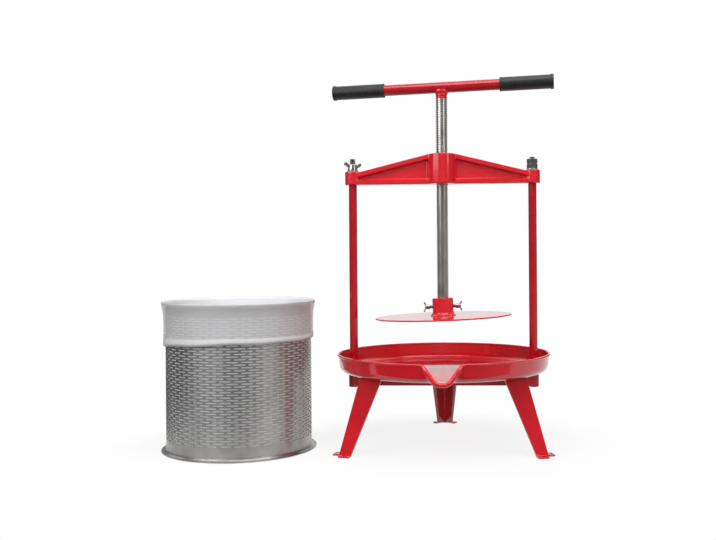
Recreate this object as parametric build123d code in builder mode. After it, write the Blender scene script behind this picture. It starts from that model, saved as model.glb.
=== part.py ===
from build123d import *

import os
from math import cos, radians, sin, sqrt, tan

# A hand-turned fruit press on three legs, with its stainless basket and filter bag beside it.
# Millimetres, +Z up. The origin is on the floor under the press screw, the pouring spout
# points to -Y and the crossbar lies along X.

# Clearances
weld_gap = 0.1          # face to face, between pieces that are welded together
slip_fit = 0.1          # radial, a rod pushed into a socket or a sleeve over a tube
running_fit = 0.05      # radial, the press screw in the crossbar that it turns in
drill_clearance = 0.25  # radial, a stud in its drilled hole
cut_over = 5            # how far a cutting body runs past the face that it opens

# Tray, a pressed sheet bowl with a crowned floor and a drawn spout
tray_rim_radius = 181.2
tray_rim_z = 157.2
tray_depth = 31.5       # rim down to the underside of the floor's edge
tray_draft = 8          # degrees, the wall leans out
tray_corner = 8.5       # how far the bend between floor and wall reaches along each of them
tray_middle_radius = 55
tray_crown = 7.1        # rise of the floor from its edge to its level middle
tray_sheet = 2.2
spout_root_radius = 162 # where the spout's floor leaves the tray's floor
spout_mouth_width = 58
spout_mouth_floor = 30
spout_tip_width = 25
spout_tip_floor = 17
spout_reach = 11        # from the rim to the tip
spout_tip_depth = 7
spout_drop = 3.2        # from the floor's edge to the tip
spout_mouth_round = 9
spout_tip_round = 5

# Columns and what they stand in
column_spacing = 308.8
column_diameter = 14
column_top_z = 446      # the shoulder that the crossbar sits on
column_chamfer = 0.8
stud_diameter = 10
stud_length = 45
stud_chamfer = 1
socket_diameter = 18
socket_bottom_z = 98
socket_floor = 6
beam_width = 40
beam_height = 23.5
beam_sheet = 3
beam_bend_radius = 4

# Legs, folded from sheet to a right-angled section with the fold outwards
leg_sheet = 3
leg_fold_half_angle = 45
leg_top_ridge_radius = 160.5
leg_foot_ridge_radius = 200
leg_top_arm = 40.5
leg_foot_arm = 20
leg_fold_radius = 4
foot_tab_reach = 11
foot_tab_start = 3
foot_hole_diameter = 6

# Crossbar, an iron casting with an I section
boss_diameter = 50
boss_height = 52
end_boss_diameter = 26.5
end_boss_height = 23.5
arm_slope_start = 22
arm_end_height = 19
flange_width = 22
flange_thickness = 8.5
web_thickness = 7
cast_round = 5
cast_edge = 1.5
gate_clearance = 0.75   # radial, the open slot that swings off the left stud

# Fasteners on the studs
washer_diameter = 20
washer_thickness = 1.6
nut_across_flats = 16
nut_height = 8.4
wing_nut_base_diameter = 17
wing_nut_height = 11
wing_nut_span = 38
wing_nut_ear_start = 1.6
wing_nut_ear_height = 14
wing_nut_ear_thickness = 3
wing_nut_turn = 48      # degrees about its stud
ear_lobe = 0.3          # share of an ear's height that its end takes
ear_round = 0.1         # share of an ear's height that rounds its corners

# Press screw and T handle
screw_diameter = 20
screw_end_z = 226
groove_diameter = 13
groove_width = 7
groove_z = 236
screw_end_chamfer = 1.5
handle_z = 612.7
handle_length = 382.5
handle_tube_diameter = 19
handle_tube_wall = 2
handle_turn = -7        # degrees about the screw
handle_tilt = 0.85      # degrees, welded a little out of square with its right end up
handle_seat = 4.5       # the tube's middle above the notched top of the screw
handle_weld_diameter = 24
handle_weld_drop = 8
handle_weld_edge = 0.8
grip_diameter = 23.8
grip_length = 91
grip_end_wall = 3
grip_bead_diameter = 25.8
grip_bead_length = 5
grip_edge = 0.7

# Press plate, its hub and the two wing screws that hang it on the screw's groove
plate_diameter = 234.6
plate_thickness = 2.5
plate_top_z = 220.3
plate_lean = 1.85       # degrees, the loose hub lets the left edge hang low
hub_diameter = 36
hub_height = 30.2
hub_play = 0.8          # radial, around the screw
hub_weld_leg = 4
wing_screw_diameter = 6
wing_screw_tip_gap = 0.4
wing_screw_collar_diameter = 8.5
wing_screw_collar_length = 9
wing_screw_stand_off = 4
wing_screw_span = 22
wing_screw_ear_start = 5.5
wing_screw_ear_height = 11
wing_screw_ear_thickness = 2.6
wing_screw_turn = 42    # degrees about its own axis

# Basket, a rolled stainless sheet with both edges turned out
basket_x = -347.5
basket_y = -30.3
basket_diameter = 243.5
basket_height = 247
basket_sheet = 1.2
basket_foot_diameter = 260
basket_rim_diameter = 256.5

# Filter bag, a mesh lining turned down over the basket's rim
bag_cloth = 0.8
bag_gap = 0.35
bag_cuff = 67
bag_floor_z = 1.5

os.makedirs("parts", exist_ok=True)


def write_piece(piece, name):
    """Label a finished piece and write it under that name."""
    piece.part.label = name
    export_step(piece.part, f"parts/{name}.step")


# Places that follow from the sizes
column_x = column_spacing / 2
tray_edge_z = tray_rim_z - tray_depth
tray_bend = radians(90 - tray_draft)
tray_bend_inset = tan(tray_bend / 2) - tan(tray_bend / 4)
crossbar_top_z = column_top_z + boss_height
end_boss_top_z = column_top_z + end_boss_height
sides = {"left": -1, "right": 1}


def bowl(inset, top_z):
    """The tray's bowl as a filled body, drawn inset from its outside and cut off at top_z."""
    lean = tan(radians(tray_draft))
    edge_z = tray_edge_z + inset
    rim_radius = tray_rim_radius - inset / cos(radians(tray_draft))
    crown_z = edge_z + tray_crown
    corner_point = (rim_radius - (tray_rim_z - edge_z) * lean, edge_z)
    top_point = (rim_radius + (top_z - tray_rim_z) * lean, top_z)
    with BuildPart() as body:
        with BuildSketch(Plane.XZ) as profile:
            with BuildLine():
                Polyline(
                    (0, crown_z),
                    (tray_middle_radius, crown_z),
                    corner_point,
                    top_point,
                    (0, top_z),
                    close=True,
                )
            make_face()
            corner = profile.vertices().sort_by_distance(corner_point)[0]
            chamfer(corner, tray_corner - inset * tray_bend_inset)
        revolve(axis=Axis.Z)
    return body.part


def spout_section(y, floor_half, top_half, floor_z, top_z, round_radius, inset, above):
    """One section across the spout, inset from its outside, its sides run on upwards by above."""
    slope = (top_half - floor_half) / (top_z - floor_z)
    side_inset = inset * sqrt(1 + slope**2)
    low_z = floor_z + inset
    low_half = floor_half + slope * inset - side_inset
    high_half = top_half + slope * above - side_inset
    with BuildSketch(Plane.XZ.offset(-y)) as section:
        with BuildLine():
            Polyline(
                (-low_half, low_z),
                (low_half, low_z),
                (high_half, top_z + above),
                (-high_half, top_z + above),
                close=True,
            )
        make_face()
        fillet(section.vertices().group_by(Axis.Y)[0], round_radius - inset)
    return section.sketch


def spout(inset, above, past_tip):
    """The spout as a filled body from the tray's floor to past its tip, its floor running down."""
    mouth_y = -tray_rim_radius
    tip_y = mouth_y - spout_reach
    root_z = tray_edge_z + tray_sheet / 2
    tip_z = tray_edge_z - spout_drop
    floor_slope = (root_z - tip_z) / (tray_rim_radius + spout_reach - spout_root_radius)
    mouth_z = tip_z + floor_slope * spout_reach
    root = (spout_mouth_floor / 2, spout_mouth_width / 2, root_z, tray_rim_z, spout_mouth_round)
    mouth = (spout_mouth_floor / 2, spout_mouth_width / 2, mouth_z, tray_rim_z, spout_mouth_round)
    tip = (spout_tip_floor / 2, spout_tip_width / 2, tip_z, tip_z + spout_tip_depth, spout_tip_round)
    run_on = past_tip / spout_reach
    end = [t + (t - m) * run_on for m, t in zip(mouth, tip)]
    stations = {-spout_root_radius: root, mouth_y: mouth, tip_y - past_tip: end}
    sections = [spout_section(y, *sizes, inset, above) for y, sizes in stations.items()]
    with BuildPart() as body:
        loft(sections=sections, ruled=True)
    return body.part


tray_outside = bowl(0, tray_rim_z)
tray_inside = bowl(tray_sheet, tray_rim_z + cut_over)
spout_outside = spout(0, 0, 0)
spout_inside = spout(tray_sheet, cut_over, cut_over / 2)

with BuildPart() as tray:
    add(tray_outside)
    add(spout_outside)
    add(tray_inside, mode=Mode.SUBTRACT)
    add(spout_inside, mode=Mode.SUBTRACT)
    with BuildSketch(Plane.XY.offset(tray_edge_z)):
        with GridLocations(column_spacing, 0, 2, 1):
            Circle(column_diameter / 2 + drill_clearance)
    extrude(amount=tray_depth, mode=Mode.SUBTRACT)
write_piece(tray, "tray")

# What lies under the tray is trimmed to its underside, one weld gap away.
under_tray = bowl(-weld_gap, tray_rim_z + cut_over)

for side, sign in sides.items():
    with BuildPart() as socket:
        with BuildSketch(Plane.XY.offset(socket_bottom_z)):
            with Locations((sign * column_x, 0)):
                Circle(socket_diameter / 2)
        extrude(amount=tray_rim_z - socket_bottom_z)
        with BuildSketch(Plane.XY.offset(socket_bottom_z + socket_floor)):
            with Locations((sign * column_x, 0)):
                Circle(column_diameter / 2 + slip_fit)
        extrude(amount=tray_rim_z, mode=Mode.SUBTRACT)
        add(under_tray, mode=Mode.SUBTRACT)
    write_piece(socket, f"{side}_column_socket")

    with BuildPart() as column:
        with BuildSketch(Plane.XY.offset(socket_bottom_z + socket_floor)):
            with Locations((sign * column_x, 0)):
                Circle(column_diameter / 2)
        extrude(amount=column_top_z - socket_bottom_z - socket_floor)
        chamfer(column.edges().filter_by(GeomType.CIRCLE).sort_by(Axis.Z)[-1], column_chamfer)
        with BuildSketch(Plane.XY.offset(column_top_z)):
            with Locations((sign * column_x, 0)):
                Circle(stud_diameter / 2)
        extrude(amount=stud_length)
        chamfer(column.edges().filter_by(GeomType.CIRCLE).sort_by(Axis.Z)[-1], stud_chamfer)
    write_piece(column, f"{side}_column")

with BuildPart() as base_beam:
    with BuildSketch(Plane.YZ.offset(-column_x)) as channel:
        with Locations((0, tray_edge_z - beam_height / 2)):
            Rectangle(beam_width, beam_height)
        fillet(channel.vertices().group_by(Axis.Y)[-1], beam_bend_radius)
        with Locations((0, tray_edge_z - beam_height / 2 - beam_sheet)):
            Rectangle(beam_width - 2 * beam_sheet, beam_height, mode=Mode.SUBTRACT)
    extrude(amount=column_spacing)
    with BuildSketch(Plane.XY.offset(socket_bottom_z)):
        with GridLocations(column_spacing, 0, 2, 1):
            Circle(socket_diameter / 2 + weld_gap)
    extrude(amount=tray_rim_z - socket_bottom_z, mode=Mode.SUBTRACT)
    add(under_tray, mode=Mode.SUBTRACT)
write_piece(base_beam, "base_beam")

# The ridge of a leg leans out towards its foot, and its top is trimmed to the tray.
leg_slope = (leg_foot_ridge_radius - leg_top_ridge_radius) / tray_edge_z
leg_trim_z = tray_edge_z + tray_corner


def leg_arm(plane):
    """One flat half of a folded leg, drawn on its outer face from below the floor and past the fold."""
    across = cos(radians(leg_fold_half_angle))
    aside = sin(radians(leg_fold_half_angle))
    along = plane.y_dir * aside - plane.x_dir * across
    ridge = plane.z_dir - plane.x_dir * leg_slope
    foot = plane.from_local_coords((leg_foot_ridge_radius, 0, 0))
    outer_face = Plane(foot, x_dir=along, z_dir=along.cross(ridge))
    low = outer_face.to_local_coords(foot - ridge * leg_sheet)
    high = outer_face.to_local_coords(foot + ridge * leg_trim_z)
    with BuildSketch(outer_face) as outline:
        with BuildLine():
            Polyline(
                (low.X - leg_sheet, low.Y),
                (low.X + leg_foot_arm, low.Y),
                (high.X + leg_top_arm, high.Y),
                (high.X - leg_sheet, high.Y),
                close=True,
            )
        make_face()
    return outline.sketch


def foot_tabs(plane):
    """The two tabs turned out flat on the floor from the foot of a leg, each with a screw hole."""
    with BuildSketch(plane) as tabs:
        for turn in (-1, 1):
            arm_direction = 180 - turn * leg_fold_half_angle
            tab_plane = Location((leg_foot_ridge_radius, 0), arm_direction)
            length = leg_foot_arm - foot_tab_start
            middle = foot_tab_start + length / 2
            with Locations(tab_plane):
                with Locations((middle, -turn * (foot_tab_reach - leg_sheet) / 2)):
                    Rectangle(length, foot_tab_reach + leg_sheet)
                with Locations((middle, -turn * foot_tab_reach / 2)):
                    Circle(foot_hole_diameter / 2, mode=Mode.SUBTRACT)
    return tabs.sketch


leg_angles = {"back_leg": 90, "front_left_leg": 212, "front_right_leg": 328}
for leg_name, leg_angle in leg_angles.items():
    foot_plane = Plane.XY.rotated((0, 0, leg_angle))
    fold_plane = Plane(foot_plane.origin, x_dir=foot_plane.x_dir, z_dir=foot_plane.y_dir)
    ridge_top = foot_plane.from_local_coords((leg_top_ridge_radius, 0, tray_edge_z))
    arm_sketch = leg_arm(foot_plane)
    tabs_sketch = foot_tabs(foot_plane)
    with BuildPart() as leg:
        extrude(arm_sketch, amount=-leg_sheet)
        split(bisect_by=fold_plane, keep=Keep.TOP)
        mirror(about=fold_plane)
        fillet(leg.edges().sort_by_distance(ridge_top)[0], leg_fold_radius)
        split(bisect_by=Plane.XY, keep=Keep.TOP)
        extrude(tabs_sketch, amount=leg_sheet)
        add(under_tray, mode=Mode.SUBTRACT)
    write_piece(leg, leg_name)

with BuildPart() as crossbar:
    with BuildSketch(Plane.XZ):
        with BuildLine():
            Polyline(
                (0, column_top_z),
                (column_x, column_top_z),
                (column_x, column_top_z + arm_end_height),
                (arm_slope_start, crossbar_top_z),
                (0, crossbar_top_z),
                close=True,
            )
        make_face()
        mirror(about=Plane.YZ)
    extrude(amount=flange_width / 2, both=True)
    fillet(crossbar.edges().filter_by(GeomType.LINE).filter_by(Axis.Y, reverse=True), cast_edge)
    slope = (crossbar_top_z - column_top_z - arm_end_height) / (column_x - arm_slope_start)
    recess_low_z = column_top_z + flange_thickness
    recess_near = boss_diameter / 2 + cast_edge
    recess_far = column_x - end_boss_diameter / 2 - cast_edge
    recess_top_drop = flange_thickness * sqrt(1 + slope**2)
    near_top_z = crossbar_top_z - slope * (recess_near - arm_slope_start) - recess_top_drop
    far_top_z = crossbar_top_z - slope * (recess_far - arm_slope_start) - recess_top_drop
    with BuildSketch(Plane.XZ) as recess:
        with BuildLine():
            Polyline(
                (recess_near, recess_low_z),
                (recess_far, recess_low_z),
                (recess_far, far_top_z),
                (recess_near, near_top_z),
                close=True,
            )
        make_face()
        fillet(recess.vertices().group_by(Axis.X)[0], cast_round)
        mirror(about=Plane.YZ)
    extrude(amount=flange_width, both=True, mode=Mode.SUBTRACT)
    extrude(recess.sketch, amount=web_thickness / 2, both=True)
    with BuildSketch(Plane.XY.offset(column_top_z)):
        Circle(boss_diameter / 2)
    extrude(amount=boss_height)
    with BuildSketch(Plane.XY.offset(column_top_z)):
        with GridLocations(column_spacing, 0, 2, 1):
            Circle(end_boss_diameter / 2)
    extrude(amount=end_boss_height)
    with BuildSketch(Plane.XY.offset(column_top_z)):
        Circle(screw_diameter / 2 + running_fit)
        with Locations((column_x, 0)):
            Circle(stud_diameter / 2 + drill_clearance)
        with Locations((-column_x, 0)):
            Circle(stud_diameter / 2 + gate_clearance)
            with Locations((0, end_boss_diameter / 2)):
                Rectangle(stud_diameter + 2 * gate_clearance, end_boss_diameter)
    extrude(amount=boss_height, mode=Mode.SUBTRACT)
write_piece(crossbar, "crossbar")

for side, sign in sides.items():
    with BuildPart() as washer:
        with BuildSketch(Plane.XY.offset(end_boss_top_z)):
            with Locations((sign * column_x, 0)):
                Circle(washer_diameter / 2)
                Circle(stud_diameter / 2 + drill_clearance, mode=Mode.SUBTRACT)
        extrude(amount=washer_thickness)
    write_piece(washer, f"{side}_washer")

nut_seat_z = end_boss_top_z + washer_thickness
for level, nut_name in enumerate(("lower_jam_nut", "upper_jam_nut")):
    with BuildPart() as nut:
        with BuildSketch(Plane.XY.offset(nut_seat_z + level * nut_height)):
            with Locations((column_x, 0)):
                RegularPolygon(nut_across_flats / 2, 6, major_radius=False, rotation=30)
                Circle(stud_diameter / 2 + slip_fit, mode=Mode.SUBTRACT)
        extrude(amount=nut_height)
    write_piece(nut, nut_name)


def wing_ears(plane, root, tip, low, high):
    """A pair of thumb ears in a plane whose x is radial and whose y runs along the fastener."""
    lobe = (high - low) * ear_lobe
    with BuildSketch(plane) as ears:
        with BuildLine():
            Polyline(
                (root, low),
                (tip, high - lobe),
                (tip, high),
                (tip - lobe, high),
                (root, low + lobe),
                close=True,
            )
        make_face()
        fillet(ears.vertices().group_by(Axis.X)[1:], (high - low) * ear_round)
        mirror(about=Plane.YZ)
    return ears.sketch


wing_nut_plane = Plane((-column_x, 0, nut_seat_z)).rotated((0, 0, wing_nut_turn))
wing_nut_ear_plane = Plane(
    wing_nut_plane.origin, x_dir=wing_nut_plane.x_dir, z_dir=-wing_nut_plane.y_dir
)
wing_nut_ears = wing_ears(
    wing_nut_ear_plane,
    wing_nut_base_diameter / 4,
    wing_nut_span / 2,
    wing_nut_ear_start,
    wing_nut_ear_height,
)
with BuildPart() as left_wing_nut:
    with BuildSketch(wing_nut_plane):
        Circle(wing_nut_base_diameter / 2)
    extrude(amount=wing_nut_height)
    extrude(wing_nut_ears, amount=wing_nut_ear_thickness / 2, both=True)
    with BuildSketch(wing_nut_plane):
        Circle(stud_diameter / 2 + drill_clearance)
    extrude(amount=wing_nut_ear_height, mode=Mode.SUBTRACT)
write_piece(left_wing_nut, "left_wing_nut")

# The handle's tube lies across the top of the screw, which is notched to take it.
handle_level = (cos(radians(handle_turn)), sin(radians(handle_turn)))
handle_rise = sin(radians(handle_tilt))
handle_run = cos(radians(handle_tilt))
handle_direction = (handle_run * handle_level[0], handle_run * handle_level[1], handle_rise)
handle_up = (-handle_rise * handle_level[0], -handle_rise * handle_level[1], handle_run)
handle_plane = Plane((0, 0, handle_z), x_dir=handle_up, z_dir=handle_direction)
screw_radius = screw_diameter / 2
screw_top_z = handle_z - handle_seat
weld_bottom_z = handle_z - handle_tube_diameter / 2 - handle_weld_drop

with BuildPart() as tube_notch:
    with BuildSketch(handle_plane):
        Circle(handle_tube_diameter / 2 + weld_gap)
    extrude(amount=handle_length, both=True)

with BuildPart() as press_screw:
    with BuildSketch(Plane.XZ):
        with BuildLine():
            Polyline(
                (0, screw_end_z),
                (screw_radius - screw_end_chamfer, screw_end_z),
                (screw_radius, screw_end_z + screw_end_chamfer),
                (screw_radius, groove_z - groove_width / 2),
                (groove_diameter / 2, groove_z - groove_width / 2),
                (groove_diameter / 2, groove_z + groove_width / 2),
                (screw_radius, groove_z + groove_width / 2),
                (screw_radius, screw_top_z),
                (0, screw_top_z),
                close=True,
            )
        make_face()
    revolve(axis=Axis.Z)
    add(tube_notch.part, mode=Mode.SUBTRACT)
write_piece(press_screw, "press_screw")

with BuildPart() as handle_weld:
    with BuildSketch(Plane.XZ):
        with BuildLine():
            Polyline(
                (screw_radius + weld_gap, weld_bottom_z),
                (screw_radius + weld_gap + handle_weld_edge, weld_bottom_z),
                (handle_weld_diameter / 2, screw_top_z),
                (screw_radius + weld_gap, screw_top_z),
                close=True,
            )
        make_face()
    revolve(axis=Axis.Z)
    add(tube_notch.part, mode=Mode.SUBTRACT)
write_piece(handle_weld, "handle_weld")

handle_tube_length = handle_length - 2 * grip_end_wall
with BuildPart() as handle_tube:
    with BuildSketch(handle_plane):
        Circle(handle_tube_diameter / 2)
        Circle(handle_tube_diameter / 2 - handle_tube_wall, mode=Mode.SUBTRACT)
    extrude(amount=handle_tube_length / 2, both=True)
write_piece(handle_tube, "handle_tube")

for side, sign in sides.items():
    end_direction = tuple(sign * c for c in handle_direction)
    end_plane = Plane((0, 0, handle_z), x_dir=handle_up, z_dir=end_direction).offset(handle_length / 2)
    with BuildPart() as grip:
        with BuildSketch(end_plane):
            Circle(grip_diameter / 2)
        extrude(amount=-grip_length)
        with BuildSketch(end_plane):
            Circle(grip_bead_diameter / 2)
        extrude(amount=-grip_bead_length)
        rims = grip.edges().filter_by(GeomType.CIRCLE)
        chamfer(rims.sort_by_distance(end_plane.origin)[-1], grip_edge)
        with BuildSketch(end_plane.offset(-grip_end_wall)):
            Circle(handle_tube_diameter / 2 + slip_fit)
        extrude(amount=-grip_length, mode=Mode.SUBTRACT)
    write_piece(grip, f"{side}_grip")

# The plate and its hub hang from the groove, leaning by the play in the hub's bore.
lean_x = (cos(radians(plate_lean)), 0, sin(radians(plate_lean)))
lean_z = (-lean_x[2], 0, lean_x[0])
head_plane = Plane((0, 0, groove_z), x_dir=lean_x, z_dir=lean_z)
plate_top = head_plane.offset(plate_top_z - groove_z)

with BuildPart() as press_plate:
    with BuildSketch(plate_top):
        Circle(plate_diameter / 2)
    extrude(amount=-plate_thickness)
write_piece(press_plate, "press_plate")

with BuildPart() as plate_hub:
    with BuildSketch(plate_top):
        Circle(hub_diameter / 2)
    extrude(amount=hub_height)
    with BuildSketch(plate_top):
        Circle(hub_diameter / 2 + hub_weld_leg)
    with BuildSketch(plate_top.offset(hub_weld_leg)):
        Circle(hub_diameter / 2)
    loft()
    with BuildSketch(plate_top):
        Circle(screw_radius + hub_play)
    extrude(amount=hub_height, mode=Mode.SUBTRACT)
    with BuildSketch(Plane(head_plane.origin, x_dir=head_plane.y_dir, z_dir=head_plane.x_dir)):
        Circle(wing_screw_diameter / 2 + drill_clearance)
    extrude(amount=hub_diameter, both=True, mode=Mode.SUBTRACT)
write_piece(plate_hub, "plate_hub")

for side, sign in sides.items():
    level = head_plane.y_dir * cos(radians(wing_screw_turn))
    ear_direction = level + head_plane.z_dir * sin(radians(wing_screw_turn))
    axis_plane = Plane(head_plane.origin, x_dir=ear_direction, z_dir=head_plane.x_dir * sign)
    ear_plane = Plane(axis_plane.origin, x_dir=axis_plane.x_dir, z_dir=-axis_plane.y_dir)
    tip_at = groove_diameter / 2 + wing_screw_tip_gap
    collar_at = hub_diameter / 2 + wing_screw_stand_off
    ears_sketch = wing_ears(
        ear_plane,
        wing_screw_collar_diameter / 4,
        wing_screw_span / 2,
        collar_at + wing_screw_ear_start,
        collar_at + wing_screw_ear_height,
    )
    with BuildPart() as wing_screw:
        with BuildSketch(axis_plane.offset(tip_at)):
            Circle(wing_screw_diameter / 2)
        extrude(amount=collar_at - tip_at)
        with BuildSketch(axis_plane.offset(collar_at)):
            Circle(wing_screw_collar_diameter / 2)
        extrude(amount=wing_screw_collar_length)
        extrude(ears_sketch, amount=wing_screw_ear_thickness / 2, both=True)
    write_piece(wing_screw, f"{side}_wing_screw")

basket_axis = Axis((basket_x, basket_y, 0), (0, 0, 1))
basket_plane = Plane((basket_x, basket_y, 0), x_dir=(1, 0, 0), z_dir=(0, -1, 0))
basket_wall = basket_diameter / 2
basket_inside = basket_wall - basket_sheet

with BuildPart() as basket:
    with BuildSketch(basket_plane):
        with BuildLine():
            Polyline(
                (basket_inside, 0),
                (basket_foot_diameter / 2, 0),
                (basket_foot_diameter / 2, basket_sheet),
                (basket_wall, basket_sheet),
                (basket_wall, basket_height - basket_sheet),
                (basket_rim_diameter / 2, basket_height - basket_sheet),
                (basket_rim_diameter / 2, basket_height),
                (basket_inside, basket_height),
                close=True,
            )
        make_face()
    revolve(axis=basket_axis)
write_piece(basket, "basket")

bag_outside = basket_inside - bag_gap
bag_top_z = basket_height + bag_gap + bag_cloth
cuff_inside = basket_rim_diameter / 2 + bag_gap
cuff_outside = cuff_inside + bag_cloth
with BuildPart() as filter_bag:
    with BuildSketch(basket_plane):
        with BuildLine():
            Polyline(
                (0, bag_floor_z),
                (bag_outside, bag_floor_z),
                (bag_outside, bag_top_z - bag_cloth),
                (cuff_inside, bag_top_z - bag_cloth),
                (cuff_inside, bag_top_z - bag_cuff),
                (cuff_outside, bag_top_z - bag_cuff),
                (cuff_outside, bag_top_z),
                (bag_outside - bag_cloth, bag_top_z),
                (bag_outside - bag_cloth, bag_floor_z + bag_cloth),
                (0, bag_floor_z + bag_cloth),
                close=True,
            )
        make_face()
    revolve(axis=basket_axis)
write_piece(filter_bag, "filter_bag")
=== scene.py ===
from math import atan2, cos, hypot, pi, radians, sin, tan, tau

import bpy
from mathutils import Matrix, Vector


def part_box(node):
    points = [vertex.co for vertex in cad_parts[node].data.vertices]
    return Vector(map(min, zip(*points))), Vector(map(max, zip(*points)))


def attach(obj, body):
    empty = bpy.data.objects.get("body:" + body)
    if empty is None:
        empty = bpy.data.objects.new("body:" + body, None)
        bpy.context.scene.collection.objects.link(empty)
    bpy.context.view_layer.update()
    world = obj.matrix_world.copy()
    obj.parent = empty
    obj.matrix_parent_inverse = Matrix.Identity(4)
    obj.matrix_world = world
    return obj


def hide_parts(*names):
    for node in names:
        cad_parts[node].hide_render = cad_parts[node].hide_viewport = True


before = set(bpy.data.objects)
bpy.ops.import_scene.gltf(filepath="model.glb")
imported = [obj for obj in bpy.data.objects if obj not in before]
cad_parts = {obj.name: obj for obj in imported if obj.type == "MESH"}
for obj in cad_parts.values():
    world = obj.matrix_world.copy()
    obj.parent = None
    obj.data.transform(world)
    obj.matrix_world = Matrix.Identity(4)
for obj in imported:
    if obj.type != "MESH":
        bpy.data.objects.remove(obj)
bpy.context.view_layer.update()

# A hand-turned fruit press in red enamel, with its slotted basket and mesh bag beside it. The pieces
# follow in the order in which the press is put together. Lengths are in metres.

# Juice tray
# One round sheet of steel, drawn in a press to a shallow pan with a crowned floor and a pouring spout,
# so that the juice runs to the wall and out at the front. Red gloss enamel all over, in a lighter red
# than the other sheet parts, which paints light on the tray.
mm = 0.001
hair = 0.001 * mm
seam = 0.005 * mm
tray_low, tray_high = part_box("tray")
tray_rim_radius = tray_high.x
tray_rim_z = tray_high.z
tray_edge_z = tray_rim_z - 31.5 * mm
tray_sheet = 2.2 * mm
tray_draft = radians(8)
tray_bend = 13 * mm
tray_middle_radius = 55 * mm
tray_crown = 7.1 * mm
tray_rim_round = 0.9 * mm
tray_bead = 1.9 * mm
tray_bead_proud = 0.8 * mm
tray_steps = 128
column_radius = 7 * mm
column_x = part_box("right_column")[1].x - column_radius
column_gap = 0.25 * mm
spout_zone = radians(20)
spout_zone_slack = 1e-4
spout_steps = 64
spout_mouth_half = 30 * mm
spout_mouth_round = 15 * mm
spout_mouth_floor_half = 16 * mm
spout_neck_floor_half = 11 * mm
spout_tip_half = 12.5 * mm
spout_tip_round = 6 * mm
spout_tip_floor_half = 6.5 * mm
spout_tip_floor_round = 5 * mm
spout_tip_depth = 6 * mm
spout_tip_rise = 0.9 * mm
spout_bead = 3.7 * mm
spout_bead_fade = 6 * mm
spout_bead_lift = 0.75
# These two reds are the enamel made lighter than on the other sheet parts: painted light on the tray.
lit_tray_red = (0.76, 0.0085, 0.02, 1)
lit_tray_deep_red = (0.67, 0.006, 0.015, 1)


def rounded(corners, steps=6):
    """The points of a line whose corners are (point, radius), each round one as a short arc."""
    places = [Vector(point) for point, radius in corners]
    points = []
    for index, (point, radius) in enumerate(corners):
        here = places[index]
        if not radius:
            points.append(here)
            continue
        back = (places[index - 1] - here).normalized()
        ahead = (places[(index + 1) % len(places)] - here).normalized()
        half = back.angle(ahead) / 2
        centre = here + (back + ahead).normalized() * radius / sin(half)
        start = (here + back * radius / tan(half) - centre).normalized()
        end = (here + ahead * radius / tan(half) - centre).normalized()
        arc = [start.slerp(end, step / steps).normalized() for step in range(steps + 1)]
        points += [centre + direction * radius for direction in arc]
    return points


def draw(name, points):
    """Start a piece as a line of edges, extruded from one vertex through the points, in edit mode."""
    bpy.ops.object.select_all(action="DESELECT")
    bpy.ops.mesh.primitive_plane_add(size=mm)
    piece = bpy.context.object
    piece.name = name
    bpy.ops.object.mode_set(mode="EDIT")
    bpy.ops.mesh.merge(type="CENTER")
    bpy.ops.transform.translate(value=points[0])
    for here, there in zip(points, points[1:]):
        bpy.ops.mesh.extrude_vertices_move(TRANSFORM_OT_translate={"value": there - here})
    bpy.ops.mesh.select_all(action="SELECT")
    return piece


def loop(name, points):
    """Draw a closed line of edges through the points."""
    piece = draw(name, points + points[:1])
    bpy.ops.mesh.remove_doubles(threshold=seam)
    bpy.ops.object.mode_set(mode="OBJECT")
    return piece


def close_up():
    """Merge the seams and poles of the piece in edit mode, turn its faces outwards and leave edit mode."""
    bpy.ops.mesh.select_mode(type="VERT")
    bpy.ops.mesh.select_all(action="SELECT")
    bpy.ops.mesh.remove_doubles(threshold=seam)
    bpy.ops.mesh.normals_make_consistent(inside=False)
    bpy.ops.object.mode_set(mode="OBJECT")


def take(piece):
    """Make one piece the only one selected, and the active one."""
    bpy.ops.object.select_all(action="DESELECT")
    piece.select_set(True)
    bpy.context.view_layer.objects.active = piece


def modify(piece, kind, **settings):
    """Give a piece one modifier with these settings and apply it."""
    take(piece)
    modifier = piece.modifiers.new(kind.lower(), kind)
    for setting, value in settings.items():
        setattr(modifier, setting, value)
    bpy.ops.object.modifier_apply(modifier=modifier.name)


def join(piece, *others):
    """Make several shells one piece, which keeps the first one's name."""
    take(piece)
    for other in others:
        other.select_set(True)
    bpy.ops.object.join()


def cut(piece, cutter, operation="DIFFERENCE"):
    """Cut one piece with another, which is then thrown away."""
    modify(piece, "BOOLEAN", object=cutter, operation=operation, solver="EXACT")
    bpy.data.objects.remove(cutter)


def drill(radius, low, high, at=(0, 0), steps=48):
    """A cutter for a hole along Z, as long as from low to high."""
    bpy.ops.object.select_all(action="DESELECT")
    middle = (*at, (low + high) / 2)
    bpy.ops.mesh.primitive_cylinder_add(vertices=steps, radius=radius, depth=high - low, location=middle)
    return bpy.context.object


def shade(piece, angle):
    """Shade a piece smoothly over every edge flatter than angle."""
    take(piece)
    bpy.ops.object.shade_smooth_by_angle(angle=radians(angle))


def smooth(piece, angle=35):
    """Shade a piece smoothly over every edge flatter than angle, with its flats left flat."""
    shade(piece, angle)
    modify(piece, "WEIGHTED_NORMAL", keep_sharp=True)


def soften(piece, width, segments=3, angle=35):
    """Round the edges of a piece that are sharper than angle, and shade it smoothly."""
    modify(piece, "BEVEL", width=width, segments=segments, limit_method="ANGLE", angle_limit=radians(angle))
    smooth(piece)


def dress(piece, material, body, node):
    """Give a piece its material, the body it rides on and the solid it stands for."""
    piece.data.materials.append(material)
    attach(piece, body)
    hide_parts(node)


def feed(node, inputs):
    """Give each named or numbered input of a shader node its link or its value."""
    for socket, value in inputs.items():
        if isinstance(value, bpy.types.NodeSocket):
            node.id_data.links.new(value, node.inputs[socket])
        else:
            node.inputs[socket].default_value = value


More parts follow.
